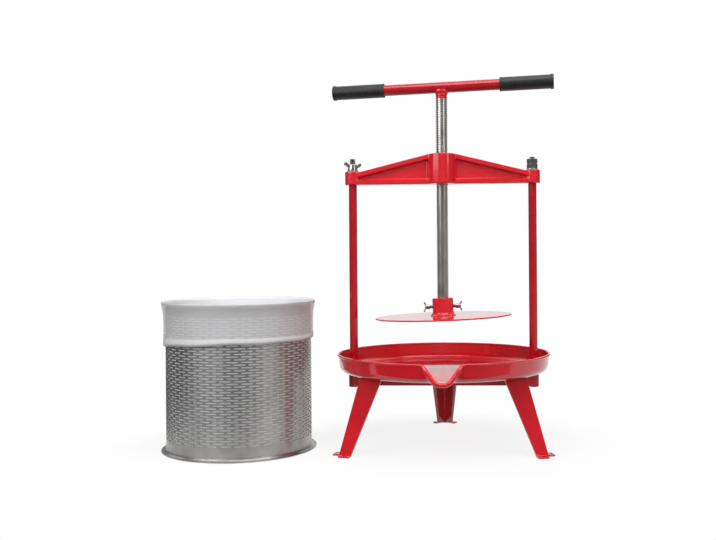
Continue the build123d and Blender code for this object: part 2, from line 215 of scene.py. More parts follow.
def add_node(tree, kind, inputs={}, **settings):
    """Add a shader node, set it and feed its inputs."""
    node = tree.nodes.new(f"ShaderNode{kind}")
    for setting, value in settings.items():
        setattr(node, setting, value)
    feed(node, inputs)
    return node


def object_place(tree):
    """The place of the shaded point in the piece's own frame."""
    return add_node(tree, "TexCoord").outputs["Object"]


def noise(place, scale, detail, roughness=0.5):
    """Cloudy noise from 0 to 1, in the tree that the place comes from."""
    inputs = {"Vector": place, "Scale": scale, "Detail": detail, "Roughness": roughness}
    return add_node(place.id_data, "TexNoise", inputs).outputs[0]


def calc(operation, *values):
    """The result of one sum on links or values, of which the last is a link."""
    return add_node(values[-1].id_data, "Math", dict(enumerate(values)), operation=operation).outputs[0]


def ramp(value, start, end, low=0, high=1, kind="LINEAR"):
    """A value that goes from low to high while the given one goes from start to end."""
    inputs = {"Value": value, "From Min": start, "From Max": end, "To Min": low, "To Max": high}
    return add_node(value.id_data, "MapRange", inputs, interpolation_type=kind).outputs[0]


def blend(share, first, second):
    """A colour between two others."""
    inputs = {0: share, 6: first, 7: second}
    return add_node(share.id_data, "Mix", inputs, data_type="RGBA").outputs[2]


def start_group(name, inputs):
    """Start a node group that gives a colour, a roughness and a height, and return its two ends too."""
    group = bpy.data.node_groups.new(name, "ShaderNodeTree")
    for label, kind in inputs:
        group.interface.new_socket(label, in_out="INPUT", socket_type="NodeSocket" + kind)
    for label, kind in (("Color", "Color"), ("Roughness", "Float"), ("Height", "Float")):
        group.interface.new_socket(label, in_out="OUTPUT", socket_type="NodeSocket" + kind)
    return group, group.nodes.new("NodeGroupInput").outputs, group.nodes.new("NodeGroupOutput")


def start_material(name):
    """Start a material and return it with its node tree and its Principled shader."""
    material = bpy.data.materials.new(name)
    material.use_nodes = True
    return material, material.node_tree, material.node_tree.nodes["Principled BSDF"]


def surface(name, group, looks, height, constants):
    """A material with its colour, roughness and bump from a node group, and the rest from constants."""
    material, tree, shader = start_material(name)
    skin = add_node(tree, "Group", looks, node_tree=group).outputs
    bump = add_node(tree, "Bump", {"Height": skin["Height"], "Strength": 1, "Distance": height})
    feed(shader, {"Base Color": skin["Color"], "Roughness": skin["Roughness"], "Normal": bump.outputs[0]})
    feed(shader, constants)
    return material


# The skin of sprayed enamel: faint clouds of a deeper red and the fine dimples of orange peel.
enamel_skin, skin_in, skin_out = start_group(
    "enamel_skin", [("Light", "Color"), ("Deep", "Color"), ("Peel Scale", "Float"), ("Roughness", "Float")]
)
skin_place = object_place(enamel_skin)
clouds = ramp(noise(skin_place, scale=22, detail=3), start=0.35, end=0.7)
haze_noise = noise(skin_place, scale=90, detail=4)
haze = ramp(haze_noise, start=0, end=1, low=-0.03, high=0.05)
peel = noise(skin_place, scale=skin_in["Peel Scale"], detail=2, roughness=0.4)
skin_colour = blend(clouds, skin_in["Light"], skin_in["Deep"])
skin_roughness = calc("ADD", skin_in["Roughness"], haze)
feed(skin_out, {"Color": skin_colour, "Roughness": skin_roughness, "Height": peel})


def enamel(name, light, deep, peel_scale, peel_height, roughness):
    """Red gloss enamel, with orange peel as coarse as the metal under it leaves it."""
    looks = {"Light": light, "Deep": deep, "Peel Scale": peel_scale, "Roughness": roughness}
    gloss = {"IOR": 1.5, "Coat Weight": 0.5, "Coat Roughness": 0.05}
    return surface(name, enamel_skin, looks, peel_height, gloss)


sheet_skin = {"peel_scale": 420, "peel_height": 0.012 * mm, "roughness": 0.13}
# The tray's enamel takes the lightened reds, which paint in light.
lit_tray_enamel = enamel("red enamel on the tray, lightened as painted light", lit_tray_red, lit_tray_deep_red, **sheet_skin)

tray_corner_radius = tray_rim_radius - (tray_rim_z - tray_edge_z) * tan(tray_draft)
tray_outline = rounded(
    [
        ((0, 0, tray_edge_z + tray_crown), 0),
        ((tray_middle_radius, 0, tray_edge_z + tray_crown), 0),
        ((tray_corner_radius, 0, tray_edge_z), tray_bend),
        ((tray_rim_radius, 0, tray_rim_z), 0),
    ],
    steps=10,
)
bend_start = tray_outline[2]
wall_reach = tray_rim_radius - bend_start.x
wall_rise = tray_rim_z - bend_start.z
zone_edge = Matrix.Rotation(spout_zone - pi / 2, 3, "Z")
juice_tray = draw("juice_tray", [zone_edge @ point for point in tray_outline])
bpy.ops.mesh.spin(steps=tray_steps, angle=2 * spout_zone - tau, center=(0, 0, 0), axis=(0, 0, 1))
bpy.ops.mesh.spin(steps=spout_steps, angle=-2 * spout_zone, center=(0, 0, 0), axis=(0, 0, 1))
close_up()

# The spout is drawn out of the wall: its lip leaves the rim at the mouth, runs down to the tip and
# across it, and each line up the wall is stretched from the floor's edge to its place on that lip.
tip_y = tray_low.y + 2 * spout_bead - tray_sheet
tip_floor_z = tray_low.z + spout_bead + spout_tip_rise
mouth_y = -((tray_rim_radius**2 - spout_mouth_half**2) ** 0.5)
lip_side = [
    ((-tray_rim_radius * sin(spout_zone), -tray_rim_radius * cos(spout_zone), tray_rim_z), 0),
    ((-spout_mouth_half, mouth_y, tray_rim_z), spout_mouth_round),
    ((-spout_tip_half, tip_y, tip_floor_z + spout_tip_depth), spout_tip_round),
    ((-spout_tip_floor_half, tip_y, tip_floor_z), spout_tip_floor_round),
]
lip_corners = lip_side + [((-x, y, z), radius) for (x, y, z), radius in reversed(lip_side)]
zone_floor_half = bend_start.x * sin(spout_zone)
floor_halves = (zone_floor_half, spout_mouth_floor_half, spout_neck_floor_half, spout_tip_floor_half)
floor_places = [-half for half in floor_halves] + list(reversed(floor_halves))


def lengths(points):
    """How far along a line of points each of them lies."""
    far = [0]
    for here, there in zip(points, points[1:]):
        far.append(far[-1] + (there - here).length)
    return far


def between(far, values, place, slack=1e-9):
    """The value at a place along a line, from values given at increasing distances."""
    index = next(i for i in range(1, len(far)) if place <= far[i] + slack)
    share = (place - far[index - 1]) / (far[index] - far[index - 1])
    return values[index - 1] * (1 - share) + values[index] * share


lip_points = rounded(lip_corners, steps=8)
lip_far = lengths(lip_points)
corner_far = lengths([Vector(point) for point, radius in lip_corners])
lip, lip_floor = [], []
for step in range(spout_steps + 1):
    share = step / spout_steps
    point = between(lip_far, lip_points, share * lip_far[-1])
    flat_radius = hypot(point.x, point.y)
    if flat_radius < tray_rim_radius:
        point = Vector((point.x, point.y, 0)) * tray_rim_radius / flat_radius + Vector((0, 0, point.z))
    lip.append(point)
    floor_x = between(corner_far, floor_places, share * corner_far[-1])
    lip_floor.append(Vector((floor_x, -((bend_start.x**2 - floor_x**2) ** 0.5), bend_start.z)))

for vertex in juice_tray.data.vertices:
    place = vertex.co
    turn = atan2(place.x, -place.y)
    out = hypot(place.x, place.y) - bend_start.x
    if abs(turn) > spout_zone + spout_zone_slack or out < -hair:
        continue
    step = round((turn / spout_zone + 1) / 2 * spout_steps)
    reach = lip[step] - lip_floor[step]
    stretch = Vector((out / wall_reach, out / wall_reach, (place.z - bend_start.z) / wall_rise))
    vertex.co = lip_floor[step] + reach * stretch

floor_face = min(juice_tray.data.polygons, key=lambda face: face.center.xy.length)
if floor_face.normal.z > 0:
    juice_tray.data.flip_normals()
modify(juice_tray, "SOLIDIFY", thickness=tray_sheet, offset=-1, use_even_offset=True)
for x in (-column_x, column_x):
    cut(juice_tray, drill(column_radius + column_gap, tray_edge_z - tray_sheet, tray_rim_z, at=(x, 0)))
soften(juice_tray, tray_rim_round, angle=50)

# The edge is rolled over outwards: a thin bead along the rim that grows fat along the spout's lip.
bead_line, bead_sizes = [], []
for point, floor_point in zip(lip, lip_floor):
    outward = (point - floor_point) * Vector((1, 1, 0))
    down_lip = min((tray_rim_z - point.z) / spout_bead_fade, 1)
    at_tip = max(1 - (point.z - tip_floor_z) / spout_tip_depth, 0)
    size = tray_bead + (spout_bead - tray_bead) * down_lip
    drop = size * (1 - spout_bead_lift * at_tip)
    proud = (tray_bead_proud - tray_bead) * (1 - down_lip) + (spout_bead - tray_sheet) * down_lip
    bead_line.append(point + outward.normalized() * proud - Vector((0, 0, drop)))
    bead_sizes.append(size)
rim_line = tray_rim_radius + tray_bead_proud - tray_bead
for step in range(1, tray_steps):
    turn = spout_zone + (tau - 2 * spout_zone) * step / tray_steps
    bead_line.append(Vector((rim_line * sin(turn), -rim_line * cos(turn), tray_rim_z - tray_bead)))
    bead_sizes.append(tray_bead)
rim_bead = loop("rim_bead", bead_line)
bpy.ops.object.convert(target="CURVE")
rim_bead.data.bevel_depth = tray_bead
rim_bead.data.bevel_resolution = 4
for point in rim_bead.data.splines[0].points:
    nearest = min(range(len(bead_line)), key=lambda index: (bead_line[index] - point.co.xyz).length)
    point.radius = bead_sizes[nearest] / tray_bead
bpy.ops.object.convert(target="MESH")
bpy.ops.object.shade_smooth()
join(juice_tray, rim_bead)
dress(juice_tray, lit_tray_enamel, "stand", "tray")

# Beam under the tray
# A folded steel channel, open downwards, from column to column, that takes the pull of the columns.
# It is welded to the two sockets at its ends and enamelled with the stand.
beam_low, beam_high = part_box("base_beam")
beam_half = beam_high.y
beam_sheet = 3 * mm
beam_bend = 4 * mm
beam_edge = 0.4 * mm
socket_radius = 9 * mm
weld_gap = 0.1 * mm
enamel_red = (0.66, 0.0075, 0.018, 1)
enamel_deep_red = (0.57, 0.0052, 0.013, 1)


def push_out(offset):
    """Fill the outline in edit mode, push it out to a solid bar and leave edit mode."""
    bpy.ops.mesh.edge_face_add()
    bpy.ops.mesh.extrude_region_move(TRANSFORM_OT_translate={"value": offset})
    close_up()


inner_half = beam_half - beam_sheet
inner_top = beam_high.z - beam_sheet
inner_bend = beam_bend - beam_sheet
beam_corners = [
    ((-column_x, -beam_half, beam_low.z), 0),
    ((-column_x, -beam_half, beam_high.z), beam_bend),
    ((-column_x, beam_half, beam_high.z), beam_bend),
    ((-column_x, beam_half, beam_low.z), 0),
    ((-column_x, inner_half, beam_low.z), 0),
    ((-column_x, inner_half, inner_top), inner_bend),
    ((-column_x, -inner_half, inner_top), inner_bend),
    ((-column_x, -inner_half, beam_low.z), 0),
]
tray_beam = draw("tray_beam", rounded(beam_corners, steps=4))
push_out((2 * column_x, 0, 0))
for x in (-column_x, column_x):
    cut(tray_beam, drill(socket_radius + weld_gap, beam_low.z - beam_sheet, tray_rim_z, at=(x, 0)))
soften(tray_beam, beam_edge, segments=2)
sheet_enamel = enamel("red enamel on sheet", enamel_red, enamel_deep_red, **sheet_skin)
dress(tray_beam, sheet_enamel, "stand", "base_beam")

# Column sockets
# Two turned steel cups at the ends of the beam, closed below, into which the columns are pushed.
# A run of weld joins the mouth of each to the underside of the tray. Red enamel, darkened as painted shade.
socket_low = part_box("left_column_socket")[0].z
socket_floor = 6 * mm
socket_edge = 1.2 * mm
socket_weld = 2.4 * mm
slip_fit = 0.1 * mm
# These two reds are the enamel made darker than on the sheet parts: painted shade on the columns, their
# sockets and the handle tube, which sit in shade.
shaded_bar_red = (0.46, 0.0045, 0.012, 1)
shaded_bar_deep_red = (0.40, 0.0032, 0.0088, 1)


def turned(name, corners, at=(0, 0), steps=64, arc_steps=5):
    """A piece turned about an upright axis: its outline of (radius, z, rounding) is drawn and spun."""
    outline = rounded([((at[0] + radius, at[1], z), soft) for radius, z, soft in corners], arc_steps)
    piece = draw(name, outline)
    bpy.ops.mesh.spin(steps=steps, angle=tau, center=(*at, 0), axis=(0, 0, 1))
    close_up()
    return piece


def move(piece, matrix):
    """Put a piece in its place and turn, with both left in its mesh."""
    piece.matrix_world = matrix
    take(piece)
    bpy.ops.object.transform_apply(location=True, rotation=True, scale=True)


def copied(piece, name, matrix):
    """A copy of a piece with its own mesh, put in its place and turn."""
    copy = piece.copy()
    copy.data = piece.data.copy()
    copy.name = name
    bpy.context.scene.collection.objects.link(copy)
    move(copy, matrix)
    return copy


bar_skin = {"peel_scale": 700, "peel_height": 0.008 * mm, "roughness": 0.11}
# The darkened reds paint shade on the columns, sockets and handle tube.
shaded_bar_enamel = enamel("red enamel on bar, darkened as painted shade", shaded_bar_red, shaded_bar_deep_red, **bar_skin)
socket_outline = [
    (0, socket_low, 0),
    (socket_radius, socket_low, socket_edge),
    (socket_radius, tray_edge_z - socket_weld, 0),
    (socket_radius + socket_weld / 2, tray_edge_z - socket_weld / 3, 0),
    (socket_radius + socket_weld, tray_edge_z, 0),
    (column_radius + slip_fit, tray_edge_z, 0),
    (column_radius + slip_fit, socket_low + socket_floor, 0),
    (0, socket_low + socket_floor, 0),
]
socket = turned("socket", socket_outline)
smooth(socket)
sides = {"left": Matrix.Translation((-column_x, 0, 0)), "right": Matrix.Translation((column_x, 0, 0))}
for side, side_place in sides.items():
    socket_cup = copied(socket, f"{side}_socket_cup", side_place)
    dress(socket_cup, shaded_bar_enamel, "stand", f"{side}_column_socket")
bpy.data.objects.remove(socket)

# Three legs
# Each is a tapered blank of 3 mm sheet, folded to a right angle with the fold outwards and welded under
# the tray, with two tabs turned out at the foot and drilled for screws. Red enamel.
leg_sheet = 3 * mm
leg_top_ridge = 160.5 * mm
leg_foot_ridge = 200 * mm
leg_top_arm = 39 * mm
leg_foot_arm = 20.5 * mm
leg_fold = 4 * mm
leg_edge = 0.35 * mm
tab_start = 3 * mm
tab_reach = 11 * mm
tab_bend = 2.5 * mm
tab_hole = 3 * mm
arm_along = Vector((-1, 1, 0)).normalized()
arm_out = Vector((1, 1, 0)).normalized()


def on_leg(z, along):
    """A place on the outer face of one half of the leg that stands on +X."""
    splay = (leg_foot_ridge - leg_top_ridge) / tray_edge_z
    return Vector((leg_foot_ridge - splay * z, 0, z)) + arm_along * along


def arm_width(z):
    """How wide one half of a leg is at a height."""
    return leg_foot_arm + (leg_top_arm - leg_foot_arm) * z / tray_edge_z


def pick_edges(piece, wanted):
    """Select, in edit mode, the edges of a piece whose two ends both answer to wanted."""
    bpy.ops.object.mode_set(mode="EDIT")
    bpy.ops.mesh.select_mode(type="EDGE")
    bpy.ops.mesh.select_all(action="DESELECT")
    bpy.ops.object.mode_set(mode="OBJECT")
    for edge in piece.data.edges:
        edge.select = all(wanted(piece.data.vertices[end].co) for end in edge.vertices)
    bpy.ops.object.mode_set(mode="EDIT")


def fold(width, segments):
    """Round the picked edges of a sheet to a bend."""
    bpy.ops.mesh.bevel(offset=width, offset_type="OFFSET", segments=segments, affect="EDGES")


def slice_off(place, normal, above):
    """Cut the piece in edit mode along a plane, throw away one side and close the cut."""
    bpy.ops.mesh.select_all(action="SELECT")
    bpy.ops.mesh.bisect(
        plane_co=place, plane_no=normal, use_fill=True, clear_inner=not above, clear_outer=above
    )


leg_low_z = -2 * leg_sheet
leg_high_z = tray_edge_z + 2 * leg_sheet
leg_corners = [
    (leg_low_z, 0),
    (leg_low_z, tab_start),
    (leg_sheet, tab_start),
    (leg_sheet, arm_width(leg_sheet)),
    (leg_high_z, arm_width(leg_high_z)),
    (leg_high_z, 0),
]
leg = draw("leg", [on_leg(z, along) for z, along in leg_corners])
bpy.ops.mesh.edge_face_add()
pick_edges(leg, lambda place: abs(place.z - leg_sheet) < hair)
bpy.ops.mesh.extrude_edges_move(TRANSFORM_OT_translate={"value": arm_out * tab_reach})
tab_line = on_leg(leg_sheet, 0).dot(arm_out)
pick_edges(leg, lambda place: abs(place.z - leg_sheet) < hair and place.dot(arm_out) < tab_line + hair)
fold(tab_bend, segments=4)
bpy.ops.object.mode_set(mode="OBJECT")
modify(leg, "MIRROR", use_axis=(False, True, False), merge_threshold=2 * seam)
pick_edges(leg, lambda place: abs(place.y) < hair)
fold(leg_fold, segments=6)
close_up()
widest = max(leg.data.polygons, key=lambda face: face.area)
if widest.normal.x < 0:
    leg.data.flip_normals()
modify(leg, "SOLIDIFY", thickness=leg_sheet, offset=-1, use_even_offset=True)
crown_slope = tray_crown / (bend_start.x - tray_middle_radius)
leg_top_z = tray_edge_z + (bend_start.x - leg_top_ridge) * crown_slope + tray_sheet / 3
bpy.ops.object.mode_set(mode="EDIT")
slice_off((0, 0, 0), (0, 0, 1), above=False)
slice_off((leg_top_ridge, 0, leg_top_z), (crown_slope, 0, 1), above=True)
bpy.ops.object.mode_set(mode="OBJECT")
tab_middle = on_leg(0, (tab_start + leg_foot_arm) / 2) + arm_out * (tab_reach + tab_bend) / 2
for y in (-tab_middle.y, tab_middle.y):
    cut(leg, drill(tab_hole, -leg_sheet, 2 * leg_sheet, at=(tab_middle.x, y), steps=32))
soften(leg, leg_edge, segments=2)
for name, node, angle in (
    ("leg_back", "back_leg", 90),
    ("leg_front_left", "front_left_leg", 212),
    ("leg_front_right", "front_right_leg", 328),
):
    standing_leg = copied(leg, name, Matrix.Rotation(radians(angle), 4, "Z"))
    dress(standing_leg, sheet_enamel, "stand", node)
bpy.data.objects.remove(leg)

# Columns
# Two 14 mm steel bars, enamelled in a darker red that paints in shade, that stand in the sockets and
# carry the crossbar on their shoulders.
# Their ends are turned down to 10 mm and threaded, and the thread is left bright.
column_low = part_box("left_column")[0].z
column_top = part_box("left_column")[1].z
shoulder_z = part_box("crossbar")[0].z
column_edge = 0.8 * mm
stud_radius = 5 * mm
stud_pitch = 1.5 * mm
stud_depth = 0.85 * mm
stud_root = 1 * mm
stud_tooth = [(0, stud_depth), (0.5, 0), (1, stud_depth)]
zinc_light = (0.54, 0.54, 0.535, 1)
zinc_dark = (0.26, 0.26, 0.26, 1)

# The grain of worked metal: cloudy tone and fine lines drawn out along one direction.
metal_grain, grain_in, grain_out = start_group(
    "metal_grain", [("Light", "Color"), ("Dark", "Color"), ("Stretch", "Vector"), ("Roughness", "Float")]
)
grain_place = object_place(metal_grain)
grain_map = add_node(metal_grain, "Mapping", {"Vector": grain_place, "Scale": grain_in["Stretch"]})
lines = noise(grain_map.outputs[0], scale=1, detail=4)
line_amount = ramp(lines, start=0, end=1, low=-0.08, high=0.08)
tone = ramp(noise(grain_place, scale=60, detail=3), start=0.4, end=0.8)
grain_colour = blend(tone, grain_in["Light"], grain_in["Dark"])
grain_roughness = calc("ADD", grain_in["Roughness"], line_amount)
feed(grain_out, {"Color": grain_colour, "Roughness": grain_roughness, "Height": lines})


def bare_metal(name, light, dark, stretch, roughness, height):
    """Bare or plated metal, with its grain drawn out along the small numbers of stretch."""
    looks = {"Light": light, "Dark": dark, "Stretch": stretch, "Roughness": roughness}
    return surface(name, metal_grain, looks, height, {"Metallic": 1})


def cylinder(name, radius, low, high, edge=0, bore=0, **turning):
    """A turned bar, or a tube where it has a bore, with its outer edges rounded."""
    corners = [(bore, low, 0), (radius, low, edge), (radius, high, edge), (bore, high, 0)]
    if bore:
        corners.append(corners[0])
    return turned(name, corners, **turning)


def thread(name, crest_radius, tooth, pitch, low, high, steps):
    """A right-handed thread: one tooth of (share of pitch, depth) is drawn, wound up and cut level."""
    spare_turns = 3
    turns = int((high - low) / pitch) + spare_turns
    start = low - spare_turns / 2 * pitch
    piece = draw(name, [Vector((crest_radius - depth, 0, start + share * pitch)) for share, depth in tooth])
    bpy.ops.object.mode_set(mode="OBJECT")
    modify(
        piece, "SCREW", axis="Z", angle=tau, screw_offset=pitch, iterations=turns,
        steps=steps, render_steps=steps,
    )
    bpy.ops.object.mode_set(mode="EDIT")
    bpy.ops.mesh.select_all(action="SELECT")
    bpy.ops.mesh.remove_doubles(threshold=0.002 * mm)
    slice_off((0, 0, low), (0, 0, 1), above=False)
    slice_off((0, 0, high), (0, 0, 1), above=True)
    close_up()
    return piece


zinc_grain = {"stretch": (300, 300, 300), "roughness": 0.19, "height": 0.01 * mm}
zinc = bare_metal("bright zinc", zinc_light, zinc_dark, **zinc_grain)
bar = cylinder("bar", column_radius, column_low, shoulder_z, column_edge)
smooth(bar)
bar.data.materials.append(shaded_bar_enamel)
stud = thread("stud", stud_radius, stud_tooth, stud_pitch, shoulder_z - stud_root, column_top, steps=32)
smooth(stud, angle=20)
stud.data.materials.append(zinc)
join(bar, stud)
for side, side_place in sides.items():
    column = copied(bar, f"column_{side}", side_place)
    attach(column, "stand")
    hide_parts(f"{side}_column")
bpy.data.objects.remove(bar)

# Crossbar
# An iron casting with two arms of I section, a tall boss in the middle, bored and threaded for the
# screw, and a boss at each end that drops over a stud. The left one is slotted, so that the bar swings.
bar_low, bar_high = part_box("crossbar")
boss_radius = 25 * mm
end_boss_radius = 13.25 * mm
end_boss_height = 23.5 * mm
slope_start = 22 * mm
arm_end_height = 19 * mm
flange_half = 11 * mm
flange = 8.5 * mm
web_half = 3.5 * mm
screw_bore = 10.35 * mm
stud_hole = 5.25 * mm
gate_half = 5.75 * mm
cast_grain = 1.1 * mm
cast_softening = 7
washer_seat = 0.15 * mm
# These two reds are the enamel made lighter than on the sheet parts: painted light on the casting, the
# handle weld and the plate's hub.
lit_cast_red = (0.70, 0.0085, 0.021, 1)
lit_cast_deep_red = (0.62, 0.006, 0.0155, 1)


def prism(name, outline, half):
    """A bar of one outline, drawn in the upright plane along X, with the same half width both ways in Y."""
    piece = draw(name, [Vector((x, -half, z)) for x, z in outline])
    push_out((0, 2 * half, 0))
    return piece


def cast(piece, grain, softening):
    """Fuse overlapping shells to one skin, with the edges and inner corners of a casting."""
    modify(piece, "REMESH", mode="VOXEL", voxel_size=grain)
    modify(piece, "SMOOTH", factor=0.5, iterations=softening)
    bpy.ops.object.shade_smooth()


end_top = bar_low.z + end_boss_height
seat_z = end_top - washer_seat
arm_top = bar_low.z + arm_end_height
arm_slope = (bar_high.z - arm_top) / (column_x - slope_start)
flange_drop = flange * (1 + arm_slope**2) ** 0.5
top_line = [(-column_x, arm_top), (-slope_start, bar_high.z)]
top_line += [(-x, z) for x, z in reversed(top_line)]
under_line = [(x, z - flange_drop) for x, z in reversed(top_line)]
base_line = [(column_x, bar_low.z), (-column_x, bar_low.z)]
foot_line = [(-column_x, bar_low.z + flange), (column_x, bar_low.z + flange)]
cast_crossbar = prism("cast_crossbar", top_line + base_line, web_half)
cast_shells = [
    prism("top_flange", top_line + under_line, flange_half),
    prism("foot_flange", foot_line + base_line, flange_half),
    cylinder("boss", boss_radius, bar_low.z, bar_high.z),
]
for x in (-column_x, column_x):
    cast_shells.append(cylinder("end_boss", end_boss_radius, bar_low.z, seat_z, at=(x, 0)))
join(cast_crossbar, *cast_shells)
cast(cast_crossbar, cast_grain, cast_softening)
hole_low = bar_low.z - mm
hole_high = end_top + mm
cut(cast_crossbar, drill(screw_bore, hole_low, bar_high.z + mm))
cut(cast_crossbar, drill(stud_hole, hole_low, hole_high, at=(column_x, 0)))
gate_near = -column_x + gate_half
gate_far = -column_x - gate_half
gate_line = [(gate_far, hole_low), (gate_near, hole_low), (gate_near, hole_high), (gate_far, hole_high)]
gate = prism("gate", gate_line, end_boss_radius)
move(gate, Matrix.Translation((0, end_boss_radius, 0)))
cut(cast_crossbar, gate)
cut(cast_crossbar, drill(gate_half, hole_low, hole_high, at=(-column_x, 0)))
shade(cast_crossbar, angle=50)
cast_skin = {"peel_scale": 260, "peel_height": 0.05 * mm, "roughness": 0.17}
# The lightened reds paint light on the casting.
lit_cast_enamel = enamel("red enamel on casting, lightened as painted light", lit_cast_red, lit_cast_deep_red, **cast_skin)
dress(cast_crossbar, lit_cast_enamel, "crossbar", "crossbar")

# Washers
# A plain stamped washer on each stud, in bright zinc. It lies on the crossbar's end boss and spreads
# the load of the nuts above it.
washer_low, washer_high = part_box("right_washer")
washer_radius = (washer_high.x - washer_low.x) / 2
washer_edge = 0.4 * mm
stamping = cylinder(
    "stamping", washer_radius, washer_low.z, washer_high.z, washer_edge,
    bore=stud_hole, steps=48, arc_steps=3,
)
smooth(stamping)
for side, side_place in sides.items():
    washer = copied(stamping, f"washer_{side}", side_place)
    dress(washer, zinc, "stand", f"{side}_washer")
bpy.data.objects.remove(stamping)

# Jam nuts
# Two zinc-plated hexagon nuts locked against each other on the right stud, so that the crossbar can
# swing on it without working loose. Each is chamfered at both ends, as cut from bar.
nut_flats = 16 * mm
nut_corner = nut_flats / 2 / cos(radians(30))
nut_chamfer = 1.5 * mm
nut_chamfer_rise = nut_chamfer * 0.87
nut_edge = 0.25 * mm
nut_turns = {"lower": -5, "upper": -1}
for level, nut_turn in nut_turns.items():
    nut_low, nut_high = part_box(f"{level}_jam_nut")
    hexagon = [Vector((cos(radians(60 * k)), sin(radians(60 * k)), 0)) for k in range(6)]
    nut = draw(f"jam_nut_{level}", [point * nut_corner + Vector((0, 0, nut_low.z)) for point in hexagon])
    push_out((0, 0, nut_high.z - nut_low.z))
    blank_outline = [
        (stud_radius, nut_low.z, 0),
        (nut_corner - nut_chamfer, nut_low.z, 0),
        (nut_corner + nut_chamfer / 2, nut_low.z + nut_chamfer_rise, 0),
        (nut_corner + nut_chamfer / 2, nut_high.z - nut_chamfer_rise, 0),
        (nut_corner - nut_chamfer, nut_high.z, 0),
        (stud_radius, nut_high.z, 0),
        (stud_radius, nut_low.z, 0),
    ]
    cut(nut, turned("nut_blank", blank_outline, steps=72), operation="INTERSECT")
    soften(nut, nut_edge, segments=2, angle=25)
    move(nut, Matrix.Translation((column_x, 0, 0)) @ Matrix.Rotation(radians(nut_turn), 4, "Z"))
    dress(nut, zinc, "stand", f"{level}_jam_nut")

# Wing nut
# A zinc-plated forging with a tapered hub and two thumb ears, which clamps the crossbar's slotted end
# on the left stud and is undone by hand to swing the bar away.
wing_nut_low, wing_nut_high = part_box("left_wing_nut")
wing_nut_height = wing_nut_high.z - wing_nut_low.z
wing_nut_bore = stud_hole - 0.1 * mm
wing_hub_radius = 8.5 * mm
wing_hub_top_radius = 6.9 * mm
wing_hub_foot = 2 * mm
wing_hub_height = 11 * mm
wing_bore_high = wing_hub_height + 6 * mm
wing_root = 4 * mm
wing_foot = 1.6 * mm
wing_span_half = 19 * mm
wing_half_thickness = 1.5 * mm
wing_nut_turn = radians(48)
forged_grain = 0.38 * mm
forged_softening = 4


def wings(name, root, tip, low, high, half):
    """A pair of thumb ears that lean outwards, drawn with round lobes in the plane along X."""
    lobe = (high - low) * 0.36
    lobe_round = lobe * 0.42
    ear = rounded(
        [
            ((root, 0, low), 0),
            ((tip, 0, high - lobe * 1.1), lobe * 0.5),
            ((tip - lobe * 0.05, 0, high), lobe_round),
            ((tip - lobe, 0, high), lobe_round),
            ((root, 0, low + lobe * 1.2), 0),
        ]
    )
    right, left = [prism(name, [(sign * point.x, point.z) for point in ear], half) for sign in (1, -1)]
    join(right, left)
    return right


wing_hub_outline = [
    (0, 0, 0),
    (wing_hub_radius, 0, 0),
    (wing_hub_radius, wing_hub_foot, 0),
    (wing_hub_top_radius, wing_hub_height, 0),
    (0, wing_hub_height, 0),
]
wing_nut = turned("wing_nut", wing_hub_outline)
join(wing_nut, wings("ears", wing_root, wing_span_half, wing_foot, wing_nut_height, wing_half_thickness))
cast(wing_nut, forged_grain, forged_softening)
cut(wing_nut, drill(wing_nut_bore, -mm, wing_bore_high))
shade(wing_nut, angle=50)
wing_nut_place = Matrix.Translation((-column_x, 0, wing_nut_low.z))
move(wing_nut, wing_nut_place @ Matrix.Rotation(wing_nut_turn, 4, "Z"))
dress(wing_nut, zinc, "wing_nut", "left_wing_nut")

# Press screw
# A 20 mm bright steel bar with a rolled trapezoidal thread of 4 mm pitch, right-handed. Near its lower
# end a groove is turned for the tips of the wing screws. The top carries some overspray from the handle.
screw_low, screw_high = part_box("press_screw")
screw_radius = 10 * mm
screw_pitch = 4 * mm
screw_depth = 1.2 * mm
screw_root_radius = screw_radius - screw_depth
screw_end_round = 1.5 * mm
groove_radius = 6.5 * mm
groove_low = 232.5 * mm
groove_high = 239.5 * mm
groove_edge = 0.3 * mm
groove_round = 0.8 * mm
thread_low = 244 * mm
thread_high = screw_high.z - 3 * mm
thread_edge = 0.5 * mm
overspray_low = 594 * mm
overspray_soft = 4 * mm
steel_light = (0.60, 0.59, 0.57, 1)
steel_dark = (0.42, 0.41, 0.40, 1)
screw_flank = [(0.12, 1), (0.16, 0.92), (0.26, 0.08), (0.30, 0)]
screw_tooth = [(0, screw_depth)] + [(share, depth * screw_depth) for share, depth in screw_flank]
screw_tooth += [(1 - share, depth) for share, depth in reversed(screw_tooth)]
threaded_screw = thread(
    "threaded_screw", screw_radius, screw_tooth, screw_pitch, thread_low, thread_high, steps=48
)
journal_outline = [
    (0, screw_low.z, 0),
    (screw_radius, screw_low.z, screw_end_round),
    (screw_radius, groove_low, groove_edge),
    (groove_radius, groove_low, groove_round),
    (groove_radius, groove_high, groove_round),
    (screw_radius, groove_high, groove_edge),
    (screw_radius, thread_low, thread_edge),
    (screw_root_radius, thread_low + mm, 0),
    (0, thread_low + mm, 0),
]
join(threaded_screw, turned("journal", journal_outline))
smooth(threaded_screw, angle=45)
steel_grain = {"stretch": (120, 120, 900), "roughness": 0.22, "height": 0.015 * mm}
screw_steel = bare_metal("rolled screw steel", steel_light, steel_dark, **steel_grain)
steel_tree = screw_steel.node_tree
steel_shader = steel_tree.nodes["Principled BSDF"]
steel_place = object_place(steel_tree)
steel_z = add_node(steel_tree, "SeparateXYZ", {0: steel_place}).outputs["Z"]
spray_spots = noise(steel_place, scale=420, detail=3)
spray_start = overspray_low - overspray_soft
spray_reach = ramp(steel_z, spray_start, overspray_low + overspray_soft, low=-0.45, high=0.75)
spray = ramp(calc("ADD", spray_spots, spray_reach), start=0.42, end=0.62)
bare_colour = steel_shader.inputs["Base Color"].links[0].from_socket
spray_colour = blend(spray, bare_colour, enamel_red)
feed(steel_shader, {"Base Color": spray_colour, "Metallic": calc("SUBTRACT", 1, spray)})
dress(threaded_screw, screw_steel, "screw", "press_screw")
